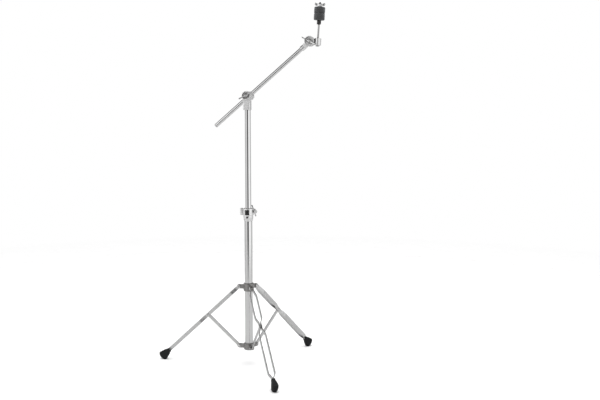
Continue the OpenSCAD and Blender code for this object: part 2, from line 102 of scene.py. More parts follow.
legs = {}
for leg in ("front", "rear", "side"):
    low = pointOf("legs_fold" if leg == "front" else leg + "_brace_pivot")
    middle = pointOf(leg + "_leg_pivot")
    top = Vector((low.x, low.y, 2 * middle.z - low.z))  # brace and upper leg are equally long
    outward = Vector((low.x, low.y, 0)).normalized()
    legs[leg] = {
        "low": low,
        "top": top,
        "tangent": up.cross(outward),
        "line": (middle - top).normalized(),
        "brace": (middle - low).normalized(),
        "length": (middle - top).length,
    }


# finishes

def nodeGroup(name, inputs, outputs):
    group = bpy.data.node_groups.new(name, "ShaderNodeTree")
    for label, kind, value in inputs:
        socket = group.interface.new_socket(label, in_out="INPUT", socket_type="NodeSocket" + kind)
        if value is not None:
            socket.default_value = value
    for label, kind in outputs:
        group.interface.new_socket(label, in_out="OUTPUT", socket_type="NodeSocket" + kind)
    return group, group.nodes.new("NodeGroupInput").outputs, group.nodes.new("NodeGroupOutput").inputs


def addNode(tree, kind, links=None, **settings):
    node = tree.nodes.new("ShaderNode" + kind)
    for key, value in settings.items():
        setattr(node, key, value)
    for socket, value in (links or {}).items():
        if isinstance(value, bpy.types.NodeSocket):
            tree.links.new(value, node.inputs[socket])
        else:
            node.inputs[socket].default_value = value
    return node


def makeGrainGroup():  # noise drawn out along one direction, for brushed and polished metal
    group, given, result = nodeGroup(
        "Drawn Grain",
        [("Vector", "Vector", None), ("Stretch", "Vector", (1, 1, 1)), ("Scale", "Float", 800),
         ("Contrast", "Float", 1)],
        [("Grain", "Float"), ("Cloud", "Float")],
    )
    vector = given["Vector"]
    drawn = addNode(group, "VectorMath", {0: vector, 1: given["Stretch"]}, operation="MULTIPLY").outputs[0]
    scale = given["Scale"]
    fine = addNode(group, "TexNoise", {"Vector": drawn, "Scale": scale, "Detail": 4, "Roughness": 0.65})
    cloud = addNode(group, "TexNoise", {"Vector": vector, "Scale": 46, "Detail": 3, "Roughness": 0.55})
    centred = addNode(group, "Math", {0: fine.outputs[0], 1: 0.5}, operation="SUBTRACT").outputs[0]
    strong = addNode(group, "Math", {0: centred, 1: given["Contrast"], 2: 0.5}, operation="MULTIPLY_ADD")
    group.links.new(strong.outputs[0], result["Grain"])
    group.links.new(cloud.outputs[0], result["Cloud"])
    return group


def makeSkinGroup():  # soft ripple and small pits of a moulded or cast skin
    group, given, result = nodeGroup(
        "Moulded Skin",
        [("Vector", "Vector", None), ("Ripple Scale", "Float", 420), ("Pit Scale", "Float", 1500),
         ("Pits", "Float", 0.35)],
        [("Height", "Float"), ("Pit Mask", "Float")],
    )
    vector = given["Vector"]
    ripple = addNode(group, "TexNoise", {"Vector": vector, "Scale": given["Ripple Scale"], "Detail": 2})
    cells = addNode(group, "TexVoronoi", {"Vector": vector, "Scale": given["Pit Scale"]}).outputs["Distance"]
    pit = addNode(group, "MapRange", {"Value": cells, "From Min": 0.3, "From Max": 0.05})
    sunk = addNode(group, "Math", {0: pit.outputs[0], 1: given["Pits"]}, operation="MULTIPLY")
    height = addNode(group, "Math", {0: ripple.outputs[0], 1: sunk.outputs[0]}, operation="SUBTRACT")
    group.links.new(height.outputs[0], result["Height"])
    group.links.new(sunk.outputs[0], result["Pit Mask"])
    return group


def makeMarksGroup():  # finger marks and wiped streaks that dull a bright surface
    group, given, result = nodeGroup(
        "Hand Marks",
        [("Vector", "Vector", None), ("Scale", "Float", 30), ("Amount", "Float", 0.1)],
        [("Dulling", "Float")],
    )
    vector = given["Vector"]
    scale = given["Scale"]
    patch = addNode(group, "TexNoise", {"Vector": vector, "Scale": scale, "Detail": 5, "Distortion": 0.8})
    clear = addNode(group, "MapRange", {"Value": patch.outputs[0], "From Min": 0.5, "From Max": 0.72})
    whorl = addNode(group, "TexWave", {"Vector": vector, "Scale": 190, "Distortion": 9, "Detail": 1})
    ridged = addNode(group, "Math", {0: whorl.outputs[0], 1: 0.35, 2: 0.65}, operation="MULTIPLY_ADD")
    both = addNode(group, "Math", {0: clear.outputs[0], 1: ridged.outputs[0]}, operation="MULTIPLY")
    amount = addNode(group, "Math", {0: both.outputs[0], 1: given["Amount"]}, operation="MULTIPLY")
    group.links.new(amount.outputs[0], result["Dulling"])
    return group


def makeEdgeGroup():  # rubbed edges, from the turn of the surface within a small radius
    group, given, result = nodeGroup(
        "Rubbed Edges",
        [("Vector", "Vector", None), ("Radius", "Float", 0.0006), ("Break Up", "Float", 260)],
        [("Mask", "Float")],
    )
    soft = addNode(group, "Bevel", {"Radius": given["Radius"]}, samples=4)
    flat = addNode(group, "NewGeometry").outputs["Normal"]
    turn = addNode(group, "VectorMath", {0: soft.outputs[0], 1: flat}, operation="DOT_PRODUCT")
    edge = addNode(group, "MapRange", {"Value": turn.outputs["Value"], "From Min": 0.995, "From Max": 0.86})
    worn = addNode(group, "TexNoise", {"Vector": given["Vector"], "Scale": given["Break Up"], "Detail": 3})
    gaps = addNode(group, "MapRange", {"Value": worn.outputs[0], "From Min": 0.38, "From Max": 0.62})
    mask = addNode(group, "Math", {0: edge.outputs[0], 1: gaps.outputs[0]}, operation="MULTIPLY")
    group.links.new(mask.outputs[0], result["Mask"])
    return group


def makeDustGroup():  # dust that has settled on what faces up
    group, given, result = nodeGroup(
        "Settled Dust",
        [("Vector", "Vector", None), ("Amount", "Float", 0.2)],
        [("Mask", "Float")],
    )
    facing = addNode(group, "NewGeometry").outputs["Normal"]
    rise = addNode(group, "SeparateXYZ", {0: facing}).outputs["Z"]
    lying = addNode(group, "MapRange", {"Value": rise, "From Min": 0.15, "From Max": 0.95})
    vector = given["Vector"]
    specks = addNode(group, "TexNoise", {"Vector": vector, "Scale": 700, "Detail": 6, "Roughness": 0.7})
    patchy = addNode(group, "MapRange", {"Value": specks.outputs[0], "From Min": 0.42, "From Max": 0.75})
    both = addNode(group, "Math", {0: lying.outputs[0], 1: patchy.outputs[0]}, operation="MULTIPLY")
    amount = addNode(group, "Math", {0: both.outputs[0], 1: given["Amount"]}, operation="MULTIPLY")
    group.links.new(amount.outputs[0], result["Mask"])
    return group


effects = {
    "grain": makeGrainGroup(),
    "skin": makeSkinGroup(),
    "marks": makeMarksGroup(),
    "edge": makeEdgeGroup(),
    "dust": makeDustGroup(),
}


def placeEffect(tree, name, vector, **values):
    node = tree.nodes.new("ShaderNodeGroup")
    node.node_tree = effects[name]
    tree.links.new(vector, node.inputs["Vector"])
    for label, value in values.items():
        node.inputs[label.replace("_", " ")].default_value = value
    return node


def newMaterial(name, **values):  # a material with its Principled shader and the coordinates of the object
    material = bpy.data.materials.new(name)
    material.use_nodes = True
    tree = material.node_tree
    shader = tree.nodes["Principled BSDF"]
    for label, value in values.items():
        shader.inputs[label.replace("_", " ")].default_value = value
    place = tree.nodes.new("ShaderNodeTexCoord").outputs["Object"]
    return material, tree, shader, place


def mixColours(tree, mask, first, second):
    mix = tree.nodes.new("ShaderNodeMix")
    mix.data_type = "RGBA"
    for socket, value in ((mix.inputs[0], mask), (mix.inputs[6], first), (mix.inputs[7], second)):
        if isinstance(value, bpy.types.NodeSocket):
            tree.links.new(value, socket)
        else:
            socket.default_value = value
    return mix.outputs[2]


def spread(tree, value, low, high):  # stretches the middle half of a noise between two numbers
    ends = {"From Min": 0.25, "From Max": 0.75, "To Min": low, "To Max": high}
    return addNode(tree, "MapRange", {"Value": value, **ends}).outputs[0]


def add(tree, first, second):
    return addNode(tree, "Math", {0: first, 1: second}, operation="ADD").outputs[0]


def bump(tree, height, distance, strength=1.0):
    return addNode(tree, "Bump", {"Height": height, "Distance": distance, "Strength": strength}).outputs[0]


def grey(value, warm=0.0):
    return (value * (1 + warm), value, value * (1 - warm), 1)


def makeMetal(name, look):  # plated or bare metal with grain, skin, hand marks, rubbed edges, dust and painted shade in its hollows
    material, tree, shader, place = newMaterial(name, Metallic=1.0)
    vector = place
    if look.get("onStrip"):
        strip = tree.nodes.new("ShaderNodeUVMap")
        strip.uv_map = "along"
        vector = strip.outputs[0]
    grain = placeEffect(tree, "grain", vector, Stretch=look["stretch"], Scale=look["grainScale"],
                        Contrast=look["contrast"])
    skin = placeEffect(tree, "skin", place, Ripple_Scale=look["ripple"], Pits=look["pits"])
    marks = placeEffect(tree, "marks", place, Amount=look["marks"])
    edges = placeEffect(tree, "edge", place, Radius=look["edgeRadius"])
    dust = placeEffect(tree, "dust", place, Amount=look["dust"])
    tone, warm = look["tone"], look.get("warm", 0.0)
    shade = spread(tree, grain.outputs["Cloud"], 0.0, 1.0)
    body = mixColours(tree, shade, grey(tone * 0.94, warm), grey(tone, warm))
    rubbed = mixColours(tree, edges.outputs["Mask"], body, grey(look["edgeTone"], warm * 0.5))
    pitted = mixColours(tree, skin.outputs["Pit Mask"], rubbed, grey(tone * 0.72, warm))
    # painted shade: the base colour is darkened where the ambient occlusion node finds hollows
    hollow = addNode(tree, "AmbientOcclusion", {"Distance": look.get("cavity", 0.005)}).outputs["AO"]
    bare = addNode(tree, "MapRange", {"Value": hollow, "From Min": 0.25, "From Max": 0.8}).outputs[0]
    hollowShaded = mixColours(tree, bare, grey(tone * 0.3, warm + 0.02), pitted)
    dusty = mixColours(tree, dust.outputs["Mask"], hollowShaded, grey(0.62, 0.03))
    tree.links.new(dusty, shader.inputs["Base Color"])
    rough = spread(tree, grain.outputs["Grain"], look["rough"] * 0.82, look["rough"] * 1.2)
    rough = add(tree, add(tree, rough, marks.outputs["Dulling"]), dust.outputs["Mask"])
    tree.links.new(rough, shader.inputs["Roughness"])
    height = add(tree, skin.outputs["Height"], grain.outputs["Grain"])
    tree.links.new(bump(tree, height, look["relief"]), shader.inputs["Normal"])
    return material


looks = {
    "chrome_tube": {  # bright plate over ground tube
        "tone": 0.86, "edgeTone": 0.9, "rough": 0.055, "stretch": (1, 1, 14), "grainScale": 500,
        "contrast": 1.2, "ripple": 60, "pits": 0.0, "marks": 0.05, "dust": 0.02, "edgeRadius": 0.0004,
        "relief": 0.0000004,
    },
    "cast_collar": {  # plated die casting, softer than the tubes
        # cavity sets how far the painted shade in the hollows reaches
        "tone": 0.95, "edgeTone": 0.97, "rough": 0.32, "cavity": 0.009, "stretch": (1, 1, 1),
        "grainScale": 900, "contrast": 1.0, "ripple": 380, "pits": 0.15, "marks": 0.1, "dust": 0.05,
        "edgeRadius": 0.0008, "relief": 0.000004,
    },
    "cast_tripod": {  # casting low on the stand, given a much darker tone than the castings above
        "tone": 0.36, "warm": 0.02, "edgeTone": 0.6, "rough": 0.24, "stretch": (1, 1, 1),
        "grainScale": 1100, "contrast": 1.4, "ripple": 520, "pits": 0.6, "marks": 0.12, "dust": 0.1,
        "edgeRadius": 0.0009, "relief": 0.00002,
    },
    "strip_steel": {  # satin strip, brushed along its length
        "tone": 0.76, "edgeTone": 0.84, "rough": 0.24, "stretch": (0.03, 1, 1), "grainScale": 3200,
        "contrast": 1.8, "ripple": 120, "pits": 0.12, "marks": 0.08, "dust": 0.06,
        "edgeRadius": 0.0005, "relief": 0.000012, "onStrip": True,
    },
    "plated_steel": {  # rivets, bolts, nuts and washers
        "tone": 0.74, "edgeTone": 0.82, "rough": 0.2, "stretch": (1, 1, 1), "grainScale": 1600,
        "contrast": 1.2, "ripple": 600, "pits": 0.15, "marks": 0.08, "dust": 0.04,
        "edgeRadius": 0.0003, "relief": 0.000008,
    },
    "wing_casting": {  # tumbled and plated wing nuts
        "tone": 0.68, "edgeTone": 0.82, "rough": 0.16, "stretch": (1, 1, 1), "grainScale": 1000,
        "contrast": 1.0, "ripple": 480, "pits": 0.18, "marks": 0.12, "dust": 0.03,
        "edgeRadius": 0.0008, "relief": 0.000012,
    },
    "rod_steel": {  # threaded rod
        "tone": 0.46, "edgeTone": 0.62, "rough": 0.26, "stretch": (1, 1, 1), "grainScale": 1800,
        "contrast": 1.2, "ripple": 500, "pits": 0.2, "marks": 0.05, "dust": 0.03,
        "edgeRadius": 0.0003, "relief": 0.000008,
    },
    "dark_steel": {  # blackened screws and the roll pin
        "tone": 0.06, "edgeTone": 0.22, "rough": 0.42, "stretch": (1, 1, 1), "grainScale": 1400,
        "contrast": 1.2, "ripple": 500, "pits": 0.3, "marks": 0.05, "dust": 0.05,
        "edgeRadius": 0.0004, "relief": 0.00001,
    },
}


def makeRubber(look):
    material, tree, shader, place = newMaterial("blackRubber", Specular_IOR_Level=0.25)
    skin = placeEffect(tree, "skin", place, Ripple_Scale=look["ripple"], Pit_Scale=2400.0, Pits=look["pits"])
    edges = placeEffect(tree, "edge", place, Radius=look["edgeRadius"], Break_Up=420.0)
    dust = placeEffect(tree, "dust", place, Amount=look["dust"])
    marks = placeEffect(tree, "marks", place, Amount=0.2, Scale=70.0)
    fresh, worn = grey(look["tone"], -0.06), grey(look["bloomTone"], -0.03)
    bloom = mixColours(tree, marks.outputs["Dulling"], fresh, worn)
    scuffed = mixColours(tree, edges.outputs["Mask"], bloom, grey(look["scuffTone"]))
    dusty = mixColours(tree, dust.outputs["Mask"], scuffed, grey(0.4, 0.04))
    tree.links.new(dusty, shader.inputs["Base Color"])
    rough = spread(tree, skin.outputs["Height"], look["rough"] * 0.88, look["rough"] * 1.12)
    tree.links.new(rough, shader.inputs["Roughness"])
    tree.links.new(bump(tree, skin.outputs["Height"], look["relief"]), shader.inputs["Normal"])
    return material


def makeNylon(look):
    material, tree, shader, place = newMaterial("blackNylon", Specular_IOR_Level=0.5)
    skin = placeEffect(tree, "skin", place, Ripple_Scale=look["ripple"], Pit_Scale=3600.0, Pits=look["pits"])
    edges = placeEffect(tree, "edge", place, Radius=look["edgeRadius"], Break_Up=500.0)
    marks = placeEffect(tree, "marks", place, Amount=0.16, Scale=90.0)
    body = mixColours(tree, marks.outputs["Dulling"], grey(look["tone"]), grey(look["tone"] * 2.4))
    scuffed = mixColours(tree, edges.outputs["Mask"], body, grey(look["scuffTone"]))
    tree.links.new(scuffed, shader.inputs["Base Color"])
    rough = spread(tree, skin.outputs["Height"], look["rough"] * 0.8, look["rough"] * 1.2)
    tree.links.new(add(tree, rough, marks.outputs["Dulling"]), shader.inputs["Roughness"])
    tree.links.new(bump(tree, skin.outputs["Height"], look["relief"]), shader.inputs["Normal"])
    return material


def makeFelt(look):  # pressed wool: matted fibres of several greys, with a dull sheen
    material, tree, shader, place = newMaterial(
        "greyFelt", Roughness=0.97, Specular_IOR_Level=0.15, Sheen_Weight=0.55, Sheen_Roughness=0.6,
        Sheen_Tint=(0.75, 0.76, 0.8, 1),
    )
    strands = []
    for stretch, scale in (((1, 1, 5), 900.0), ((5, 1, 1), 820.0), ((1, 5, 1), 860.0)):
        grain = placeEffect(tree, "grain", place, Stretch=stretch, Scale=scale, Contrast=2.2)
        strands.append(grain.outputs["Grain"])
    woven = addNode(tree, "Math", {0: strands[0], 1: strands[1]}, operation="MAXIMUM").outputs[0]
    woven = addNode(tree, "Math", {0: woven, 1: strands[2]}, operation="MAXIMUM").outputs[0]
    clumps = addNode(tree, "TexNoise", {"Vector": place, "Scale": 260, "Detail": 4, "Roughness": 0.7})
    clumps = clumps.outputs[0]
    dark, light = grey(look["dark"], -0.02), grey(look["light"], -0.02)
    base = mixColours(tree, spread(tree, clumps, 0.0, 1.0), dark, light)
    flecks = addNode(tree, "MapRange", {"Value": woven, "From Min": 0.72, "From Max": 1.0, "To Max": 0.6})
    flecked = mixColours(tree, flecks.outputs[0], base, grey(look["fleck"]))
    tree.links.new(flecked, shader.inputs["Base Color"])
    tree.links.new(bump(tree, add(tree, woven, clumps), look["relief"], 0.8), shader.inputs["Normal"])
    return material


materials = {name: makeMetal(name, look) for name, look in looks.items()}
materials["black_rubber"] = makeRubber({
    "tone": 0.013, "bloomTone": 0.024, "scuffTone": 0.05, "rough": 0.62, "ripple": 700.0, "pits": 0.3,
    "dust": 0.06, "edgeRadius": 0.0008, "relief": 0.00004,
})
materials["black_nylon"] = makeNylon({
    "tone": 0.014, "scuffTone": 0.07, "rough": 0.24, "ripple": 500.0, "pits": 0.15,
    "edgeRadius": 0.0005, "relief": 0.00001,
})
materials["grey_felt"] = makeFelt({"dark": 0.03, "light": 0.056, "fleck": 0.1, "relief": 0.00035})
print("finishes made:", len(materials))


# shapes, all in millimetres

def join(target, shape, place=Matrix()):  # moves a finished shape into another bmesh
    bmesh.ops.transform(shape, matrix=place, verts=shape.verts)
    carrier = bpy.data.meshes.new("carrier")
    shape.to_mesh(carrier)
    shape.free()
    target.from_mesh(carrier)
    bpy.data.meshes.remove(carrier)
    return target


def boundary(bm):
    return [e for e in bm.edges if e.is_boundary]


def softened(points, radius, ring=False, steps=3):  # the same line with its corners rounded
    made = []
    count = len(points)
    for i, corner in enumerate(points):
        if not ring and i in (0, count - 1):
            made.append(corner)
            continue
        here = Vector(corner)
        before, after = Vector(points[i - 1]) - here, Vector(points[(i + 1) % count]) - here
        back = min(radius, before.length * 0.45, after.length * 0.45)
        start, end = here + before.normalized() * back, here + after.normalized() * back
        for k in range(steps + 1):
            t = k / steps
            made.append(tuple(start * (1 - t) ** 2 + here * 2 * t * (1 - t) + end * t ** 2))
    return made


def turned(outline, steps=64, sweep=360, ring=False):  # lathe about Z of an outline in radius and height
    bm = bmesh.new()
    verts = [bm.verts.new((r, 0, z)) for r, z in outline]
    edges = [bm.edges.new(pair) for pair in zip(verts, verts[1:])]
    if ring:
        edges.append(bm.edges.new((verts[-1], verts[0])))
    bmesh.ops.spin(bm, geom=verts + edges, axis=(0, 0, 1), cent=(0, 0, 0), angle=math.radians(sweep),
                   steps=steps, use_merge=sweep == 360)
    bmesh.ops.remove_doubles(bm, verts=bm.verts, dist=1e-4)
    if sweep != 360:
        bmesh.ops.holes_fill(bm, edges=boundary(bm), sides=0)
    bmesh.ops.recalc_face_normals(bm, faces=bm.faces)
    return bm


def ringOf(bore, outer, low, high, rim, steps, sweep=360):  # a plain ring or split sleeve with eased rims
    section = softened([(bore, low), (outer, low), (outer, high), (bore, high)], rim, ring=True)
    return turned(section, steps, sweep, ring=True)


def pinShape(radius, low, high, rim, steps):
    return turned(softened([(0, low), (radius, low), (radius, high), (0, high)], rim), steps)


def pulled(bm, edges):  # extrudes an open rim and gives the edges of the new one
    grown = bmesh.ops.extrude_edge_only(bm, edges=edges)["geom"]
    return [g for g in grown if isinstance(g, bmesh.types.BMEdge)]


def vertsOf(edges):
    return {v for e in edges for v in e.verts}


def cutOff(bm, at, facing):  # removes what lies on that side of a plane
    everything = bm.verts[:] + bm.edges[:] + bm.faces[:]
    bmesh.ops.bisect_plane(bm, geom=everything, plane_co=at, plane_no=facing, clear_outer=True)


def roundRims(bm, width, segments=2, sharper=38):
    edges = [e for e in bm.edges if e.is_manifold and e.calc_face_angle() > math.radians(sharper)]
    bmesh.ops.bevel(bm, geom=edges, offset=width, offset_type="OFFSET", segments=segments, profile=0.5,
                    affect="EDGES", clamp_overlap=True, material=-1)


def slab(outline, thick, rim, segments=2):  # flat plate of that outline, its middle at height 0
    bm = bmesh.new()
    face = bm.faces.new([bm.verts.new((x, y, -thick / 2)) for x, y in outline])
    grown = bmesh.ops.extrude_face_region(bm, geom=[face])["geom"]
    bmesh.ops.translate(bm, verts=[g for g in grown if isinstance(g, bmesh.types.BMVert)], vec=(0, 0, thick))
    bmesh.ops.recalc_face_normals(bm, faces=bm.faces)
    roundRims(bm, rim, segments)
    return bm


def plate(halfX, halfY, thick, rim):
    return slab([(-halfX, -halfY), (halfX, -halfY), (halfX, halfY), (-halfX, halfY)], thick, rim)


def threaded(radius, pitch, low, high, steps=18):  # screw thread about Z with chamfered ends
    bm = bmesh.new()
    root = radius - 0.6 * pitch
    start = low - 1.5 * pitch
    section = ((root, 0), (root, 0.12), (radius, 0.48), (radius, 0.62), (root, 1))
    verts = [bm.verts.new((r, 0, start + share * pitch)) for r, share in section]
    edges = [bm.edges.new(pair) for pair in zip(verts, verts[1:])]
    turns = math.ceil((high - low) / pitch) + 3
    bmesh.ops.spin(bm, geom=verts + edges, axis=(0, 0, 1), cent=(0, 0, 0), dvec=(0, 0, pitch / steps),
                   angle=math.tau * turns, steps=steps * turns)
    bmesh.ops.remove_doubles(bm, verts=bm.verts, dist=pitch * 0.005)
    cutOff(bm, (0, 0, low), (0, 0, -1))
    cutOff(bm, (0, 0, high), (0, 0, 1))
    bmesh.ops.holes_fill(bm, edges=boundary(bm), sides=0)
    chamfer = 0.7 * pitch
    for v in bm.verts:
        toEnd = min(v.co.z - low, high - v.co.z)
        most = radius - max(0, chamfer - toEnd)
        if v.co.xy.length > most:
            v.co.xy *= most / v.co.xy.length
    bmesh.ops.recalc_face_normals(bm, faces=bm.faces)
    return bm


def hexagon(corner, height, bore=0, crown=0.6):  # nut or bolt head from Z 0 up, its top corners turned down
    bm = bmesh.new()
    sixth = math.radians(60)
    ring = bmesh.ops.create_circle(bm, cap_ends=False, radius=corner, segments=48)["verts"]
    flat = corner * math.cos(sixth / 2)
    for v in ring:
        turn = (math.atan2(v.co.y, v.co.x) + sixth / 2) % sixth - sixth / 2
        v.co *= flat / math.cos(sixth / 2 - abs(turn)) / corner
    edges = bm.edges[:]
    levels = [(1.0, height - crown), (0.93, height)]
    if not bore:
        levels.append((0.62, height))
    for share, z in levels:
        edges = pulled(bm, edges)
        for v in vertsOf(edges):
            angle = math.atan2(v.co.y, v.co.x)
            reach = min(v.co.xy.length, corner * share) if share < 1 else v.co.xy.length
            v.co = Vector((reach * math.cos(angle), reach * math.sin(angle), z))
    if bore:
        for radius, z in ((bore + 0.4, height), (bore, height - 0.4), (bore, 0.4), (bore + 0.4, 0)):
            edges = pulled(bm, edges)
            for v in vertsOf(edges):
                angle = math.atan2(v.co.y, v.co.x)
                v.co = Vector((radius * math.cos(angle), radius * math.sin(angle), z))
        bmesh.ops.bridge_loops(bm, edges=boundary(bm))
    else:
        bmesh.ops.holes_fill(bm, edges=boundary(bm), sides=0)
    bmesh.ops.recalc_face_normals(bm, faces=bm.faces)
    return bm


def wingNut(nut):  # seat at Z 0, wings along X that rise from it; a subdivision surface finishes it
    bm = bmesh.new()
    boss, height, bore, sides = nut["boss"], nut["height"], nut["bore"], 16
    bmesh.ops.create_circle(bm, cap_ends=False, radius=1, segments=sides)
    bmesh.ops.rotate(bm, verts=bm.verts, matrix=Matrix.Rotation(math.pi / sides, 3, "Z"))
    flange = 1.9  # height of the flange under the boss
    topWing = height * 0.82
    levels = [  # radius and height, up the outside and down the bore
        (boss + 0.9, 0), (boss + 1.1, 0.2), (boss + 1.1, 1.1), (boss + 0.8, 1.4), (boss, flange),
        (boss * 0.97, height * 0.5), (boss * 0.9, topWing), (boss * 0.8, height * 0.96),
        (boss * 0.72, height), (bore + 0.9, height), (bore + 0.35, height - 0.15), (bore, height - 0.7),
        (bore, 0.5), (bore + 0.3, 0),
    ]
    edges = bm.edges[:]
    first = edges[:]
    for i, (radius, z) in enumerate(levels):
        if i:
            edges = pulled(bm, edges)
        for v in vertsOf(edges):
            flat = v.co.xy.normalized() * radius
            v.co = Vector((flat.x, flat.y, z))
    bmesh.ops.bridge_loops(bm, edges=first + edges)
    bmesh.ops.recalc_face_normals(bm, faces=bm.faces)
    if bm.calc_volume(signed=True) < 0:
        bmesh.ops.reverse_faces(bm, faces=bm.faces[:])
    tall, thick, reach = nut["wingTall"], nut["wingThick"], nut["span"] / 2
    rise = math.tan(math.radians(nut["rise"]))
    stations = (  # reach, half the height and half the thickness of each wing as it grows
        (1.22, 0.34, 0.62), (0.5, 0.33, 0.5), (0.76, 0.44, 0.5), (0.9, 0.42, 0.48),
        (0.98, 0.3, 0.42), (1.0, 0.16, 0.28),
    )
    for side in (-1, 1):
        faces = []
        for f in bm.faces:
            centre = f.calc_center_median()
            if f.normal.x * side > 0.9 and centre.x * side > boss * 0.7 and flange < centre.z < topWing:
                faces.append(f)
        for i, (share, half, halfThick) in enumerate(stations):
            grown = bmesh.ops.extrude_face_region(bm, geom=faces)["geom"]
            faces = [g for g in grown if isinstance(g, bmesh.types.BMFace)]
            verts = [g for g in grown if isinstance(g, bmesh.types.BMVert)]
            rows = sorted({round(v.co.z, 3) for v in verts})
            far = boss * share if i == 0 else reach * share
            middle = height * 0.52 + (far - boss * 0.7) * rise
            for v in verts:
                row = rows.index(round(v.co.z, 3)) - 1
                thin = math.copysign(halfThick * thick, v.co.y)
                v.co = Vector((far * side, thin, middle + row * half * tall))
    return bm


# from bmesh to a piece on its body

def finishPiece(bm, name, place, body, nodes, slotName, sharp=40, subdivide=0):
    bmesh.ops.transform(bm, matrix=Matrix.Scale(mm, 4) @ place, verts=bm.verts)
    bmesh.ops.recalc_face_normals(bm, faces=bm.faces)
    mesh = bpy.data.meshes.new(name)
    bm.to_mesh(mesh)
    bm.free()
    mesh.shade_smooth()
    if not subdivide:
        mesh.set_sharp_from_angle(angle=math.radians(sharp))
    mesh.materials.append(materials[slotName])
    piece = bpy.data.objects.new(name, mesh)
    scene.collection.objects.link(piece)
    if subdivide:
        smooth = piece.modifiers.new("smooth", "SUBSURF")
        smooth.levels = smooth.render_levels = subdivide
    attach(piece, body)
    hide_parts(*nodes)
    return piece


castLook = {"voxel": 0.3, "passes": 9, "keep": 0.3}


def castPiece(node, name, body, slotName):  # the CAD casting with its edges softened as on a die casting
    bm = bmesh.new()
    bm.from_mesh(frame["nodes"][node].data)
    bmesh.ops.remove_doubles(bm, verts=bm.verts, dist=1e-6)
    rough = bpy.data.meshes.new(name + "Rough")
    bm.to_mesh(rough)
    bm.free()
    carrier = bpy.data.objects.new(name + "Rough", rough)
    scene.collection.objects.link(carrier)
    grow = carrier.modifiers.new("grow", "REMESH")
    grow.mode = "VOXEL"
    grow.voxel_size = castLook["voxel"] * 1 * mm
    relax = carrier.modifiers.new("relax", "SMOOTH")
    relax.factor = 0.5
    relax.iterations = castLook["passes"]
    thin = carrier.modifiers.new("thin", "DECIMATE")
    thin.ratio = castLook["keep"]
    evaluated = carrier.evaluated_get(bpy.context.evaluated_depsgraph_get())
    mesh = bpy.data.meshes.new_from_object(evaluated)
    bpy.data.objects.remove(carrier)
    bpy.data.meshes.remove(rough)
    bm = bmesh.new()
    bm.from_mesh(mesh)
    bpy.data.meshes.remove(mesh)
    bmesh.ops.dissolve_degenerate(bm, edges=bm.edges, dist=1e-7)
    bmesh.ops.scale(bm, vec=(1 / mm,) * 3, verts=bm.verts)
    return finishPiece(bm, name, Matrix(), body, [node], slotName, sharp=180)


# tubes and their plastic plugs

# a ring of edges near each end keeps the shading of the long faces straight
tubeLook = {"wall": 1.2, "rim": 0.45, "ring": 2.0}

for name, node, body, place in (
    ("lowerTube", "lower_tube", "root", mastPlace),
    ("upperTube", "upper_tube", "mast", mastPlace),
    ("boomTube", "boom_tube", "boom", boomPlace),
):
    low, high = sized(node, place)
    outer = (high.y - low.y) / 2
    inner = outer - tubeLook["wall"]
    heights = (low.z, low.z + tubeLook["ring"], high.z - tubeLook["ring"], high.z)
    section = [(outer, z) for z in heights] + [(inner, z) for z in heights[::-1]]
    shape = turned(softened(section, tubeLook["rim"], ring=True), 112, ring=True)
    finishPiece(shape, name, place, body, [node], "chrome_tube")

low, high = sized("tube_end_plug", mastPlace)
plug = {
    "radius": (high.x - low.x) / 2, "rim": 4, "inner": 11.5, "dish": 1.4, "wall": 2.4,
    "webs": 3, "webTall": 8, "webThick": 1.4,
}
shoulder = low.z + plug["rim"]
shape = turned(softened([
    (0, low.z + plug["dish"]), (plug["radius"] - 3.4, low.z + plug["dish"]), (plug["radius"] - 2.4, low.z),
    (plug["radius"], low.z), (plug["radius"], shoulder), (plug["inner"], shoulder),
    (plug["inner"], high.z - 1.5), (plug["inner"] - 1, high.z), (plug["inner"] - plug["wall"], high.z),
    (plug["inner"] - plug["wall"], shoulder), (0, shoulder),
], 0.5), 72)
for k in range(plug["webs"]):  # webs across the hollow
    web = plate(plug["inner"] - 2, plug["webThick"] / 2, plug["webTall"], 0.2)
    join(shape, web, lift(low.z + 8) @ Matrix.Rotation(math.radians(180 * k / plug["webs"]), 4, "Z"))
finishPiece(shape, "tubeEndPlug", mastPlace, "root", ["tube_end_plug"], "black_nylon")

low, high = sized("boom_end_cap", boomPlace)
cap = {"radius": (high.y - low.y) / 2, "head": 1.5, "stem": 5.1, "grips": 3, "gripGap": 2.4}
shoulder = low.z + cap["head"]
shape = turned(softened([
    (0, low.z), (cap["radius"] * 0.8, low.z), (cap["radius"], low.z + cap["head"] * 0.7),
    (cap["radius"], shoulder), (cap["stem"], shoulder), (cap["stem"], high.z - 1),
    (cap["stem"] - 0.9, high.z), (0, high.z),
], 0.6), 56)
for k in range(cap["grips"]):  # grip rings on the stem
    ridge = [(cap["stem"] - 0.3, -0.5), (cap["stem"] + 0.05, 0), (cap["stem"] - 0.3, 0.5)]
    join(shape, turned(ridge, 56, ring=True), lift(low.z + 4 + cap["gripGap"] * k))
finishPiece(shape, "boomEndCap", boomPlace, "boom", ["boom_end_cap"], "black_nylon")

low, high = sized("upper_tube_end_ring", mastPlace)
guide = {"radius": (high.x - low.x) / 2, "collar": 4, "stem": 8.3, "bore": 6.4}
shoulder = low.z + guide["collar"]
shape = turned(softened([
    (guide["bore"], low.z), (guide["radius"], low.z), (guide["radius"], shoulder),
    (guide["stem"], shoulder), (guide["stem"], high.z), (guide["bore"], high.z),
], 0.6, ring=True), 64, ring=True)
finishPiece(shape, "guideRing", mastPlace, "mast", ["upper_tube_end_ring"], "black_nylon")

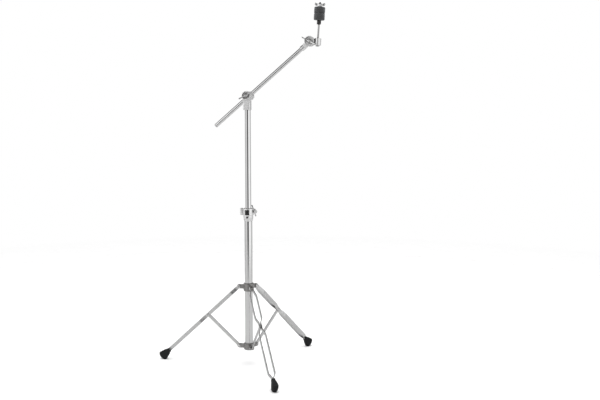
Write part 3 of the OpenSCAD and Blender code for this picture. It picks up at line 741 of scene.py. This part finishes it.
# the split bush in the height clamp, with ribs that the clamp grips
low, high = sized("tube_bush", mastPlace)
bush = {
    "outer": (high.x - low.x) / 2, "bore": 9.6, "gap": 6, "ribs": 7, "ribStep": 14, "ribHalf": 8.5,
    "ribWide": 1.0, "ribDeep": 0.5,
}
shape = ringOf(bush["bore"], bush["outer"], low.z, high.z, 0.5, 71, 360 - bush["gap"])
bmesh.ops.rotate(shape, verts=shape.verts, matrix=Matrix.Rotation(math.radians(bush["gap"] / 2), 3, "Z"))
quarter = math.radians(90)
stand = Matrix.Translation((bush["outer"] - 0.1, 0, (low.z + high.z) / 2)) @ Matrix.Rotation(quarter, 4, "Y")
for k in range(bush["ribs"]):
    rib = plate(bush["ribWide"] / 2, bush["ribHalf"], bush["ribDeep"], 0.15)
    spin = Matrix.Rotation(math.radians(-90 + (k - 3) * bush["ribStep"]), 4, "Z")
    join(shape, rib, spin @ stand @ Matrix.Rotation(quarter, 4, "Z"))
finishPiece(shape, "tubeBush", mastPlace, "bush", ["tube_bush"], "black_nylon")

# the split liner between the boom clamp and the boom
low, high = sized("boom_liner", boomPlace)
liner = {"bore": 6.42, "outer": 7.78, "sweep": 353}
shape = ringOf(liner["bore"], liner["outer"], low.z, high.z, 0.35, 60, liner["sweep"])
finishPiece(shape, "boomLiner", boomPlace, "liner", ["boom_liner"], "black_nylon")
print("tubes and plugs done")


# legs: two bowed strips, their rivets, a brace and a rubber foot each

strip = {"width": 11.5, "thick": 2.2, "rim": 0.5, "step": 2.0, "columns": 8, "bendLength": 4.0}
brace = {"width": 10.5, "thick": 3.0, "rim": 0.6}
rivet = {"shank": 3.0, "head": 4.9, "dome": 1.6, "washer": 0.35}
footPin = {"radius": 1.5, "half": 5.2}
collarLug = {"thick": 6.0, "gap": 0.3}  # the lug between the tops of the strips, and the play beside it
rubber = {
    "around": 72, "soleRadius": 20.5, "flankFrom": 6, "flankTo": 11, "fanWide": 10.3, "opening": 0.27,
    "square": 0.3, "grooves": 3, "grooveDeep": 0.55, "treads": 9, "treadStep": 10, "treadHalf": 4.2,
    "neck": (  # place along the leg, half thickness and half width of each ring
        (-18.0, 4.4, 5.6), (-18.0, 5.4, 6.9), (-17.2, 5.8, 7.4), (-11.2, 5.9, 7.4), (-10.4, 6.0, 8.0),
        (-9.8, 6.2, 9.9),
    ),
    "fan": (  # place along the leg, half thickness, how far the ring follows the arc of the sole
        (-8.8, 6.5, 0.02), (-4.0, 7.3, 0.2), (2.0, 8.3, 0.45), (8.0, 9.2, 0.75), (12.0, 9.7, 0.92),
        (13.2, 9.6, 1), (16.6, 7.9, 1), (19.4, 6.2, 1), (20.3, 5.4, 1), (20.5, 4.6, 1), (20.5, 2.4, 1),
        (20.5, 0.1, 1),
    ),
}


def bentBar(low, high, look, offset, roundStart, roundEnd):
    # a flat bar along X, its width along Z, its middle moved along Y by offset(x)
    bm = bmesh.new()
    width, half = look["width"], look["width"] / 2
    count = round((high - low) / strip["step"])
    bmesh.ops.create_grid(bm, x_segments=count, y_segments=strip["columns"], size=0.5)
    for v in bm.verts:
        x, z = low + (v.co.x + 0.5) * (high - low), v.co.y * width
        edge = half - math.sqrt(max(half * half - z * z, 0))
        if roundStart and x - low < half:
            x += edge * (1 - (x - low) / half)
        if roundEnd and high - x < half:
            x -= edge * (1 - (high - x) / half)
        v.co = Vector((x, offset(x), z))
    bmesh.ops.recalc_face_normals(bm, faces=bm.faces)
    bmesh.ops.solidify(bm, geom=bm.faces[:], thickness=look["thick"])
    bmesh.ops.recalc_face_normals(bm, faces=bm.faces)
    middle = sum((v.co.y - offset(v.co.x) for v in bm.verts)) / len(bm.verts)
    bmesh.ops.translate(bm, verts=bm.verts, vec=(0, -middle, 0))
    roundRims(bm, look["rim"], 2, 50)
    lay = bm.loops.layers.uv.new("along")
    for face in bm.faces:
        for loop in face.loops:
            loop[lay].uv = (loop.vert.co.x * mm, (loop.vert.co.z + loop.vert.co.y) * mm)
    return bm


def lineThrough(stations, ease):  # smooth function through straight stretches, bends eased over that length
    def at(x):
        for (x0, y0), (x1, y1) in zip(stations, stations[1:]):
            if x <= x1:
                return y0 + (y1 - y0) * max(0, (x - x0) / (x1 - x0))
        return stations[-1][1]

    def eased(x):
        samples = 9
        return sum(at(x + ease * ((k + 0.5) / samples - 0.5)) for k in range(samples)) / samples
    return eased


def rivetShape(grip):  # domed head on one side, rolled tubular end on the other, along Z
    head, dome, shank, flat = rivet["head"], rivet["dome"], rivet["shank"], rivet["washer"]
    turns = [math.radians(a) for a in range(0, 81, 10)]
    arc = [(head * math.cos(a), grip + flat + (dome - flat) * math.sin(a)) for a in turns]
    rolled = softened([
        (shank, -grip), (head * 0.96, -grip), (head * 0.9, -grip - dome), (2.0, -grip - dome), (1.5, -grip),
        (0, -grip + 0.4),
    ], 0.7)
    return turned(rolled[::-1] + [(shank, grip), (head, grip)] + arc + [(0, grip + dome)], 40)


def soleDrop(z):  # how far the arc of the sole falls back at that distance from the middle
    return math.sqrt(max(rubber["soleRadius"] ** 2 - z * z, 1)) - rubber["soleRadius"]


def fanWidth(x, curve):  # half width of a ring, so that the flank opens in a straight line
    wide = rubber["fanWide"]
    for k in range(8):  # settles in a few rounds
        wide = rubber["fanWide"] + rubber["opening"] * (x + curve * soleDrop(wide) + 9)
    return wide


def squarish(value):
    return math.copysign(abs(value) ** rubber["square"], value)


def rubberFoot(place):  # rings from the neck to the sole, each a rounded rectangle, cut off at the ground
    rings = [(x, deep, 0, wide) for x, deep, wide in rubber["neck"]]
    rings += [(x, deep, curve, fanWidth(x, curve)) for x, deep, curve in rubber["fan"]]
    bm = bmesh.new()
    bmesh.ops.create_circle(bm, cap_ends=False, radius=1, segments=rubber["around"])
    edges = bm.edges[:]
    angles = {v: math.atan2(v.co.y, v.co.x) for v in bm.verts}
    for i, (x, deep, curve, wide) in enumerate(rings):
        if i:
            edges = pulled(bm, edges)
            fresh = vertsOf(edges)
            for v in fresh:
                parent = next(e.other_vert(v) for e in v.link_edges if e.other_vert(v) not in fresh)
                angles[v] = angles[parent]
        for v in vertsOf(edges):
            z = wide * squarish(math.cos(angles[v]))
            y = deep * squarish(math.sin(angles[v]))
            inFan = rubber["flankFrom"] <= i <= rubber["flankTo"]
            if inFan and abs(z) > 0.93 * wide and abs(y) < 0.78 * deep:  # grooves down both narrow faces
                wave = 0.5 + 0.5 * math.cos(math.tau * y / deep * rubber["grooves"])
                z -= math.copysign(rubber["grooveDeep"] * wave ** 3, z)
            v.co = Vector((x + curve * soleDrop(z), y, z))
    bmesh.ops.holes_fill(bm, edges=boundary(bm), sides=0)
    across = Matrix(((0, 0, 1, 0), (1, 0, 0, 0), (0, 1, 0, 0), (0, 0, 0, 1)))
    for k in range(rubber["treads"]):  # low treads across the sole
        tread = plate(rubber["treadHalf"], 0.8, 0.9, 0.3)
        swing = Matrix.Rotation(math.radians((k - rubber["treads"] // 2) * rubber["treadStep"]), 4, "Y")
        join(bm, tread, swing @ Matrix.Translation((rubber["soleRadius"] - 0.4, 0, 0)) @ across)
    bmesh.ops.transform(bm, matrix=place, verts=bm.verts)
    cutOff(bm, (0, 0, 0), (0, 0, -1))
    bmesh.ops.holes_fill(bm, edges=boundary(bm), sides=0)
    return bm


for leg, way in legs.items():
    tangent, mid, title = way["tangent"], way["length"], leg.capitalize()
    legPlace = along(way["top"], way["line"].cross(tangent), way["line"])
    bracePlace = along(way["low"], way["brace"].cross(tangent), way["brace"])
    leftLow, leftHigh = sized("leg_" + leg + "_left_strip", legPlace)
    halfStrip = strip["thick"] / 2
    bow = leftHigh.y - halfStrip
    grip = collarLug["thick"] / 2 + collarLug["gap"] + halfStrip
    pinch = brace["thick"] / 2 + collarLug["gap"] + halfStrip
    foot = halfStrip + 0.1
    footX = leftHigh.x + 7
    line = lineThrough([  # from the collar: pinched, bowed, pinched at the brace, bowed, closed in the foot
        (-7, grip), (11, grip), (32, bow), (mid - 28, bow), (mid - 11, pinch), (mid + 11, pinch),
        (mid + 32, bow), (footX - 36, bow), (footX - 20, foot), (footX, foot),
    ], strip["bendLength"])
    for side, word in ((1, "Left"), (-1, "Right")):
        bar = bentBar(leftLow.x, leftHigh.x, strip, lambda x: side * line(x), True, False)
        finishPiece(bar, "leg" + title + word + "Strip", legPlace, leg + "_leg",
                    ["leg_" + leg + "_" + word.lower() + "_strip"], "strip_steel")
    bar = bentBar(-brace["width"] / 2, mid + brace["width"] / 2, brace, lambda x: 0, True, True)
    finishPiece(bar, "brace" + title, bracePlace, leg + "_brace", ["brace_" + leg], "strip_steel")
    turnIn = Matrix.Rotation(math.radians(90), 4, "X")
    pins = bmesh.new()
    join(pins, rivetShape(grip + halfStrip), turnIn)
    join(pins, rivetShape(pinch + halfStrip), Matrix.Translation((mid, 0, 0)) @ turnIn)
    pin = pinShape(footPin["radius"], -footPin["half"], footPin["half"], 0.4, 24)
    join(pins, pin, Matrix.Translation((footX - 13, 0, 0)) @ turnIn)
    finishPiece(pins, "leg" + title + "Rivets", legPlace, leg + "_leg", ["leg_" + leg + "_rivets"],
                "plated_steel")
    shape = rubberFoot(legPlace @ Matrix.Translation((footX, 0, 0)))
    finishPiece(shape, "foot" + title, Matrix(), leg + "_leg", ["foot_" + leg], "black_rubber", sharp=48)
print("legs done")


# castings

castings = (
    ("leg_spider", "legSpider", "root", "cast_tripod"),
    ("tripod_collar", "tripodCollar", "leg_collar", "cast_tripod"),
    ("height_collar", "heightCollar", "root", "cast_collar"),
    ("mast_head", "mastHead", "mast", "cast_collar"),
    ("boom_hub", "boomHub", "hub", "cast_collar"),
    ("tilter_socket", "tilterSocket", "boom", "cast_collar"),
    ("tilter_arm", "tilterArm", "tilter", "cast_collar"),
)
for casting in castings:
    castPiece(*casting)
print("castings done")


# wing nuts and bolts

nutLooks = {"wingTall": 9.5, "wingThick": 3.6, "rise": 16}
collarPlace = along(pointOf("collar_nut_turn"), axisOf("collar_nut_turn"))
tiltNutPlace = along(pointOf("tilter_nut_turn"), -sideY)
lockPlace = along(pointOf("collar_lock_turn"), axisOf("collar_lock_turn"), -up)
upsideDown = Matrix.Rotation(math.pi, 4, "X")

for name, node, body, place, tilt, boss, height, bore, span in (  # tilt turns the wings from the frame's X
    ("collarWingNut", "collar_wing_nut", "collar_nut", collarPlace, 70, 6.2, 10, 3.1, 40),
    ("boomWingNut", "boom_wing_nut", "boom_nut", clampPlace, 28, 6.8, 11, 4.1, 47),
    ("tilterWingNut", "tilter_wing_nut", "tilter_nut", tiltNutPlace, -28, 6.8, 11, 4.1, 50),
    ("cymbalWingNut", "cymbal_wing_nut", "cymbal_nut", rodPlace, 8, 6.5, 11, 3.1, 33),
):
    seat = sized(node, place)[0].z
    shape = wingNut(dict(nutLooks, boss=boss, height=height, bore=bore, span=span))
    placed = place @ lift(seat) @ Matrix.Rotation(math.radians(tilt), 4, "Z")
    finishPiece(shape, name, placed, body, [node], "wing_casting", subdivide=2)
print("wing nuts done")

clampBolt = {"radius": 3.0, "pitch": 1.0, "corner": 5.8, "head": 5}
tiltBolt = {"radius": 4.0, "pitch": 1.25, "corner": 7.0, "head": 5}
for name, node, body, place, bolt in (
    ("collarClampBolt", "collar_clamp_bolt", "root", collarPlace, clampBolt),
    ("tilterBolt", "tilter_bolt", "tilter", tiltNutPlace, tiltBolt),
):
    low, high = sized(node, place)
    shape = bmesh.new()
    join(shape, threaded(bolt["radius"], bolt["pitch"], low.z + bolt["head"] - 1, high.z))
    join(shape, hexagon(bolt["corner"], bolt["head"]), lift(low.z + bolt["head"]) @ upsideDown)
    finishPiece(shape, name, place, body, [node], "plated_steel")

eye = {"bore": 7.9, "outer": 11.5, "half": 4.5, "shankFrom": -10.5, "radius": 4.0, "pitch": 1.25}
high = sized("boom_eye_bolt", clampPlace)[1]
shape = bmesh.new()
join(shape, threaded(eye["radius"], eye["pitch"], eye["shankFrom"], high.z))
loop = ringOf(eye["bore"], eye["outer"], -eye["half"], eye["half"], 1.2, 64)
join(shape, loop, clampPlace.inverted() @ boomPlace)
finishPiece(shape, "boomEyeBolt", clampPlace, "hub", ["boom_eye_bolt"], "plated_steel")

washer = {"bore": 4.3, "outer": 7.0, "teeth": 20, "toothFrom": 6.6, "toothTo": 8, "twist": 18}
for name, node, body, place in (
    ("boomLockWasher", "boom_lock_washer", "boom_nut", clampPlace),
    ("tilterLockWasher", "tilter_lock_washer", "tilter_nut", tiltNutPlace),
):
    low, high = sized(node, place)
    shape = ringOf(washer["bore"], washer["outer"], low.z, high.z, 0.25, 48)
    near, far = washer["toothFrom"], washer["toothTo"]
    twist = lift((low.z + high.z) / 2) @ Matrix.Rotation(math.radians(washer["twist"]), 4, "X")
    for k in range(washer["teeth"]):  # sprung teeth round the rim
        tooth = slab([(near, -0.75), (far, -0.5), (far, 0.5), (near, 0.75)], 0.7, 0.12, 1)
        join(shape, tooth, Matrix.Rotation(math.tau * k / washer["teeth"], 4, "Z") @ twist)
    finishPiece(shape, name, place, body, [node], "plated_steel")

# the tripod's lock, a wing head moulded on a screw
lock = dict(nutLooks, boss=5.5, height=9, bore=1.2, span=36)
screw = {"radius": 3.0, "pitch": 1.0, "length": 11, "coreRadius": 1.6}
low = sized("tripod_lock_bolt", lockPlace)[0]
seat = low.z + screw["length"]
shape = wingNut(lock)
join(shape, turned([(0, 0.6), (screw["coreRadius"], 0.6), (screw["coreRadius"], 8.6), (0, 8.6)], 24))
finishPiece(shape, "tripodLockWing", lockPlace @ lift(seat), "collar_lock", ["tripod_lock_bolt"],
            "wing_casting", subdivide=2)
shape = threaded(screw["radius"], screw["pitch"], low.z, seat + 0.5)
finishPiece(shape, "tripodLockScrew", lockPlace, "collar_lock", ["tripod_lock_bolt"], "plated_steel")

# pins, rivets and set screws of the castings
pins = bmesh.new()
for way in legs.values():
    join(pins, rivetShape(5.3), along(way["low"], way["tangent"]))
finishPiece(pins, "spiderRivets", Matrix(), "root", ["spider_pivot_pins"], "plated_steel")

hingePin = {"radius": 2.5, "head": 3.6, "headTall": 1.6}
hingePlace = along(middleOf("collar_hinge_pin"), up)
low, high = sized("collar_hinge_pin", hingePlace)
neck = high.z - hingePin["headTall"]
shape = turned(softened([
    (0, low.z), (hingePin["radius"], low.z), (hingePin["radius"], neck), (hingePin["head"], neck),
    (hingePin["head"], high.z - 0.5), (2.4, high.z), (0, high.z),
], 0.35), 40)
finishPiece(shape, "collarHingePin", hingePlace, "root", ["collar_hinge_pin"], "plated_steel")

rollPin = {"bore": 1.9, "outer": 2.95, "sweep": 335}
rollPlace = along(middleOf("collar_roll_pin"), -sideY)
low, high = sized("collar_roll_pin", rollPlace)
shape = ringOf(rollPin["bore"], rollPin["outer"], low.z, high.z, 0.3, 40, rollPin["sweep"])
finishPiece(shape, "collarRollPin", rollPlace, "root", ["collar_roll_pin"], "dark_steel")

crossPlace = along(middleOf("tilter_socket_pin"), -sideY)
low, high = sized("tilter_socket_pin", crossPlace)
shape = pinShape(1.5, low.z, high.z, 0.5, 28)
finishPiece(shape, "tilterSocketPin", crossPlace, "boom", ["tilter_socket_pin"], "plated_steel")

setScrew = {"radius": 2.45, "pitch": 0.8, "corner": 2.2, "socket": 1.3, "deep": 0.8}
for name, node, body, direction in (
    ("spiderSetScrew", "spider_set_screw", "root", axisOf("collar_lock_turn")),
    ("headSetScrew", "mast_head_screw", "mast", -sideX),
):
    place = along(middleOf(node), direction, up)
    low, high = sized(node, place)
    shape = threaded(setScrew["radius"], setScrew["pitch"], low.z, high.z - 0.3)
    rim = hexagon(setScrew["corner"], setScrew["deep"], setScrew["socket"], 0.3)
    join(shape, rim, lift(high.z - setScrew["deep"]))
    finishPiece(shape, name, place, body, [node], "dark_steel")
print("bolts and pins done")


# cymbal rod, sleeve, felts

rod = {"radius": 3.0, "pitch": 1.0, "plainFrom": 10.0, "plainTo": 52.0, "overlap": 0.6}
low, high = sized("cymbal_rod", rodPlace)
shape = threaded(rod["radius"], rod["pitch"], low.z, rod["plainFrom"] + rod["overlap"])
join(shape, threaded(rod["radius"], rod["pitch"], rod["plainTo"] - rod["overlap"], high.z))
join(shape, pinShape(rod["radius"], rod["plainFrom"], rod["plainTo"], 0.3, 48))
finishPiece(shape, "cymbalRod", rodPlace, "tilter", ["cymbal_rod"], "rod_steel")

rodNut = {"corner": 5.8, "bore": 2.9}
low, high = sized("rod_lock_nut", rodPlace)
shape = hexagon(rodNut["corner"], high.z - low.z, rodNut["bore"])
nutPlace = rodPlace @ lift(high.z) @ upsideDown
finishPiece(shape, "rodLockNut", nutPlace, "tilter", ["rod_lock_nut"], "plated_steel")

sleeve = {"bore": 3.0, "flange": 6.5, "stem": 5.5}
low, high = sized("cymbal_sleeve", rodPlace)
feltLow = sized("lower_felt", rodPlace)[0].z
shape = turned(softened([
    (sleeve["bore"], low.z), (sleeve["flange"] - 0.3, low.z), (sleeve["flange"], low.z + 0.6),
    (sleeve["flange"], feltLow - 0.3), (sleeve["stem"], feltLow - 0.1), (sleeve["stem"], high.z),
    (sleeve["bore"], high.z),
], 0.5, ring=True), 56, ring=True)
finishPiece(shape, "cymbalSleeve", rodPlace, "tilter", ["cymbal_sleeve"], "black_nylon")

felt = {
    "bore": 5.6, "edge": 2.2, "around": 150, "bulge": 0.3, "shrink": 0.15,
    "fuzz": 0.13, "fuzzScale": 0.9, "sag": 0.1, "sagScale": 0.16, "seedStep": 9.1,
}


def feltOutline(outer, tall):  # finely divided section of a pad with rounded edges
    edge, bore = felt["edge"], felt["bore"]
    flat, wall = outer - edge - bore, tall - 2 * edge
    turns = [math.radians(15 * k) for k in range(7)]
    under = [(bore + flat * k / 7, 0) for k in range(7)]
    lower = [(outer - edge + edge * math.sin(a), edge - edge * math.cos(a)) for a in turns]
    side = [(outer, edge + wall * k / 12) for k in range(1, 12)]
    upper = [(outer - edge + edge * math.cos(a), tall - edge + edge * math.sin(a)) for a in turns]
    top = [(outer - edge - flat * k / 7, tall) for k in range(1, 8)]
    inside = [(bore, tall * (1 - k / 9)) for k in range(1, 9)]
    return under + lower + side + upper + top + inside


for name, node, body, seed in (
    ("lowerFelt", "lower_felt", "tilter", 11),
    ("upperFelt", "upper_felt", "top_felt", 47),
):
    low, high = sized(node, rodPlace)
    outer, tall = (high.y - low.y) / 2, high.z - low.z
    shape = turned(feltOutline(outer, tall), felt["around"], ring=True)
    for v in shape.verts:
        if v.co.xy.length < felt["bore"] + 0.2:
            continue
        squeeze = 1 - felt["bulge"] * (2 * v.co.z / tall - 1) ** 2 / outer
        at = v.co + Vector((seed * felt["seedStep"], 0, 0))
        fuzz = noise.fractal(at * felt["fuzzScale"], 0.7, 2.2, 4) * felt["fuzz"]
        sag = noise.noise(at * felt["sagScale"]) * felt["sag"]
        v.co += v.normal * (fuzz + sag - felt["shrink"])
        v.co.xy *= squeeze
        v.co.z = min(max(v.co.z, 0.0), tall)
    piece = finishPiece(shape, name, rodPlace @ lift(low.z), body, [node], "grey_felt", sharp=180)
print("cymbal holder done")


# floor, light and camera

ground = {"radius": 7, "tone": 0.93, "reflectedTone": 0.45, "fadeFrom": 0.7, "fadeTo": 3.2}
floorMesh = bpy.data.meshes.new("floor")
bm = bmesh.new()
bmesh.ops.create_circle(bm, cap_ends=True, radius=ground["radius"], segments=96)
bm.to_mesh(floorMesh)
bm.free()
floor = bpy.data.objects.new("floor", floorMesh)
scene.collection.objects.link(floor)
floorLook = bpy.data.materials.new("paleFloor")
floorLook.use_nodes = True
tree = floorLook.node_tree
shader = tree.nodes["Principled BSDF"]
shader.inputs["Roughness"].default_value = 0.7
direct = addNode(tree, "LightPath").outputs["Is Camera Ray"]  # a greyer floor in the reflections
pale = mixColours(tree, direct, grey(ground["reflectedTone"]), grey(ground["tone"]))
tree.links.new(pale, shader.inputs["Base Color"])
place = tree.nodes.new("ShaderNodeTexCoord").outputs["Object"]
distance = addNode(tree, "VectorMath", {0: place}, operation="LENGTH").outputs["Value"]
fade = addNode(tree, "MapRange", {
    "Value": distance, "From Min": ground["fadeFrom"], "From Max": ground["fadeTo"], "To Min": 1, "To Max": 0,
}, interpolation_type="SMOOTHSTEP")
tree.links.new(fade.outputs[0], shader.inputs["Alpha"])
floorMesh.materials.append(floorLook)

cameraLook = {"place": (0.6905, -2.5067, 0.782), "pitch": 5.30, "heading": 11.72, "lens": 48.46, "sensor": 36}
camera = bpy.data.objects.new("camera", bpy.data.cameras.new("camera"))
scene.collection.objects.link(camera)
camera.location = cameraLook["place"]
camera.rotation_euler = (math.radians(90 - cameraLook["pitch"]), 0, math.radians(cameraLook["heading"]))
camera.data.lens = cameraLook["lens"]
camera.data.sensor_width = cameraLook["sensor"]
scene.camera = camera

# the room is pale all round, with one narrow dark opening and a bright panel to its right for the chrome
room = bpy.data.worlds.new("studio")
scene.world = room
room.use_nodes = True
tree = room.node_tree
shown = tree.nodes["Background"]
towards = math.atan2(cameraLook["place"][1], cameraLook["place"][0])
direction = addNode(tree, "SeparateXYZ", {0: tree.nodes.new("ShaderNodeTexCoord").outputs["Generated"]})
turn = addNode(tree, "Math", {0: direction.outputs["Y"], 1: direction.outputs["X"]}, operation="ARCTAN2")
turn = addNode(tree, "Math", {0: turn.outputs[0], 1: towards}, operation="SUBTRACT").outputs[0]
turn = addNode(tree, "Math", {0: turn, 1: math.pi, 2: -math.pi}, operation="WRAP").outputs[0]
turn = addNode(tree, "MapRange", {"Value": turn, "From Min": -math.pi, "From Max": math.pi}).outputs[0]


def bandsRound(bands):  # light by angle round the stand, from the camera's direction to its right
    ramp = tree.nodes.new("ShaderNodeValToRGB")
    tree.links.new(turn, ramp.inputs[0])
    ramp.color_ramp.elements[0].color = grey(bands[0][1])
    ramp.color_ramp.elements[1].color = grey(bands[-1][1])
    for degrees, light in bands[1:-1]:
        ramp.color_ramp.elements.new((degrees + 180) / 360).color = grey(light)
    return ramp


panels = bandsRound((  # what the upright chrome picks up, level with it and below
    (-180, 0.5), (-120, 0.52), (-60, 0.7), (-37, 0.8), (-27, 0.05), (0, 0.04), (10, 0.4), (26, 1.08),
    (60, 1.1), (82, 0.72), (120, 0.5), (180, 0.5),
))
wall = bandsRound((  # the light above the panels
    (-180, 0.5), (-140, 0.7), (-105, 1.7), (-60, 1.5), (-34, 0.95), (0, 0.9), (40, 0.8), (80, 0.6),
    (120, 0.5), (180, 0.5),
))
reach = bandsRound(((-180, 0), (-19, 0), (-16, 0.2), (2, 0.2), (5, 0), (180, 0)))  # the opening goes higher
ceiling = {"tone": 0.12, "overhead": 1.7}
rise = direction.outputs["Z"]
over = addNode(tree, "Math", {0: rise, 1: reach.outputs[0]}, operation="SUBTRACT").outputs[0]
above = addNode(tree, "MapRange", {"Value": over, "From Min": 0.04, "From Max": 0.09}).outputs[0]
around = mixColours(tree, above, panels.outputs[0], wall.outputs[0])
high = addNode(tree, "MapRange", {"Value": rise, "From Min": 0.34, "From Max": 0.6}).outputs[0]
around = mixColours(tree, high, around, grey(ceiling["tone"]))
zenith = addNode(tree, "MapRange", {"Value": rise, "From Min": 0.6, "From Max": 0.8}).outputs[0]
rays = addNode(tree, "LightPath").outputs
zenith = addNode(tree, "Math", {0: zenith, 1: rays["Is Diffuse Ray"]}, operation="MULTIPLY").outputs[0]
around = mixColours(tree, zenith, around, grey(ceiling["overhead"]))
lit = addNode(tree, "Background", {"Color": around, "Strength": 1.0})
shown.inputs["Color"].default_value = (1, 1, 1, 1)
both = addNode(tree, "MixShader", {0: rays["Is Camera Ray"], 1: lit.outputs[0], 2: shown.outputs[0]})
tree.links.new(both.outputs[0], tree.nodes["World Output"].inputs["Surface"])

overhead = {"at": (0.3, -0.4, 3.4), "size": 3.0, "power": 60}
data = bpy.data.lights.new("overhead", "AREA")
data.size = overhead["size"]
data.energy = overhead["power"]
light = bpy.data.objects.new("overhead", data)
scene.collection.objects.link(light)
light.location = overhead["at"]
light.visible_glossy = False
scene.view_settings.view_transform = "Standard"
print("floor, light and camera done")
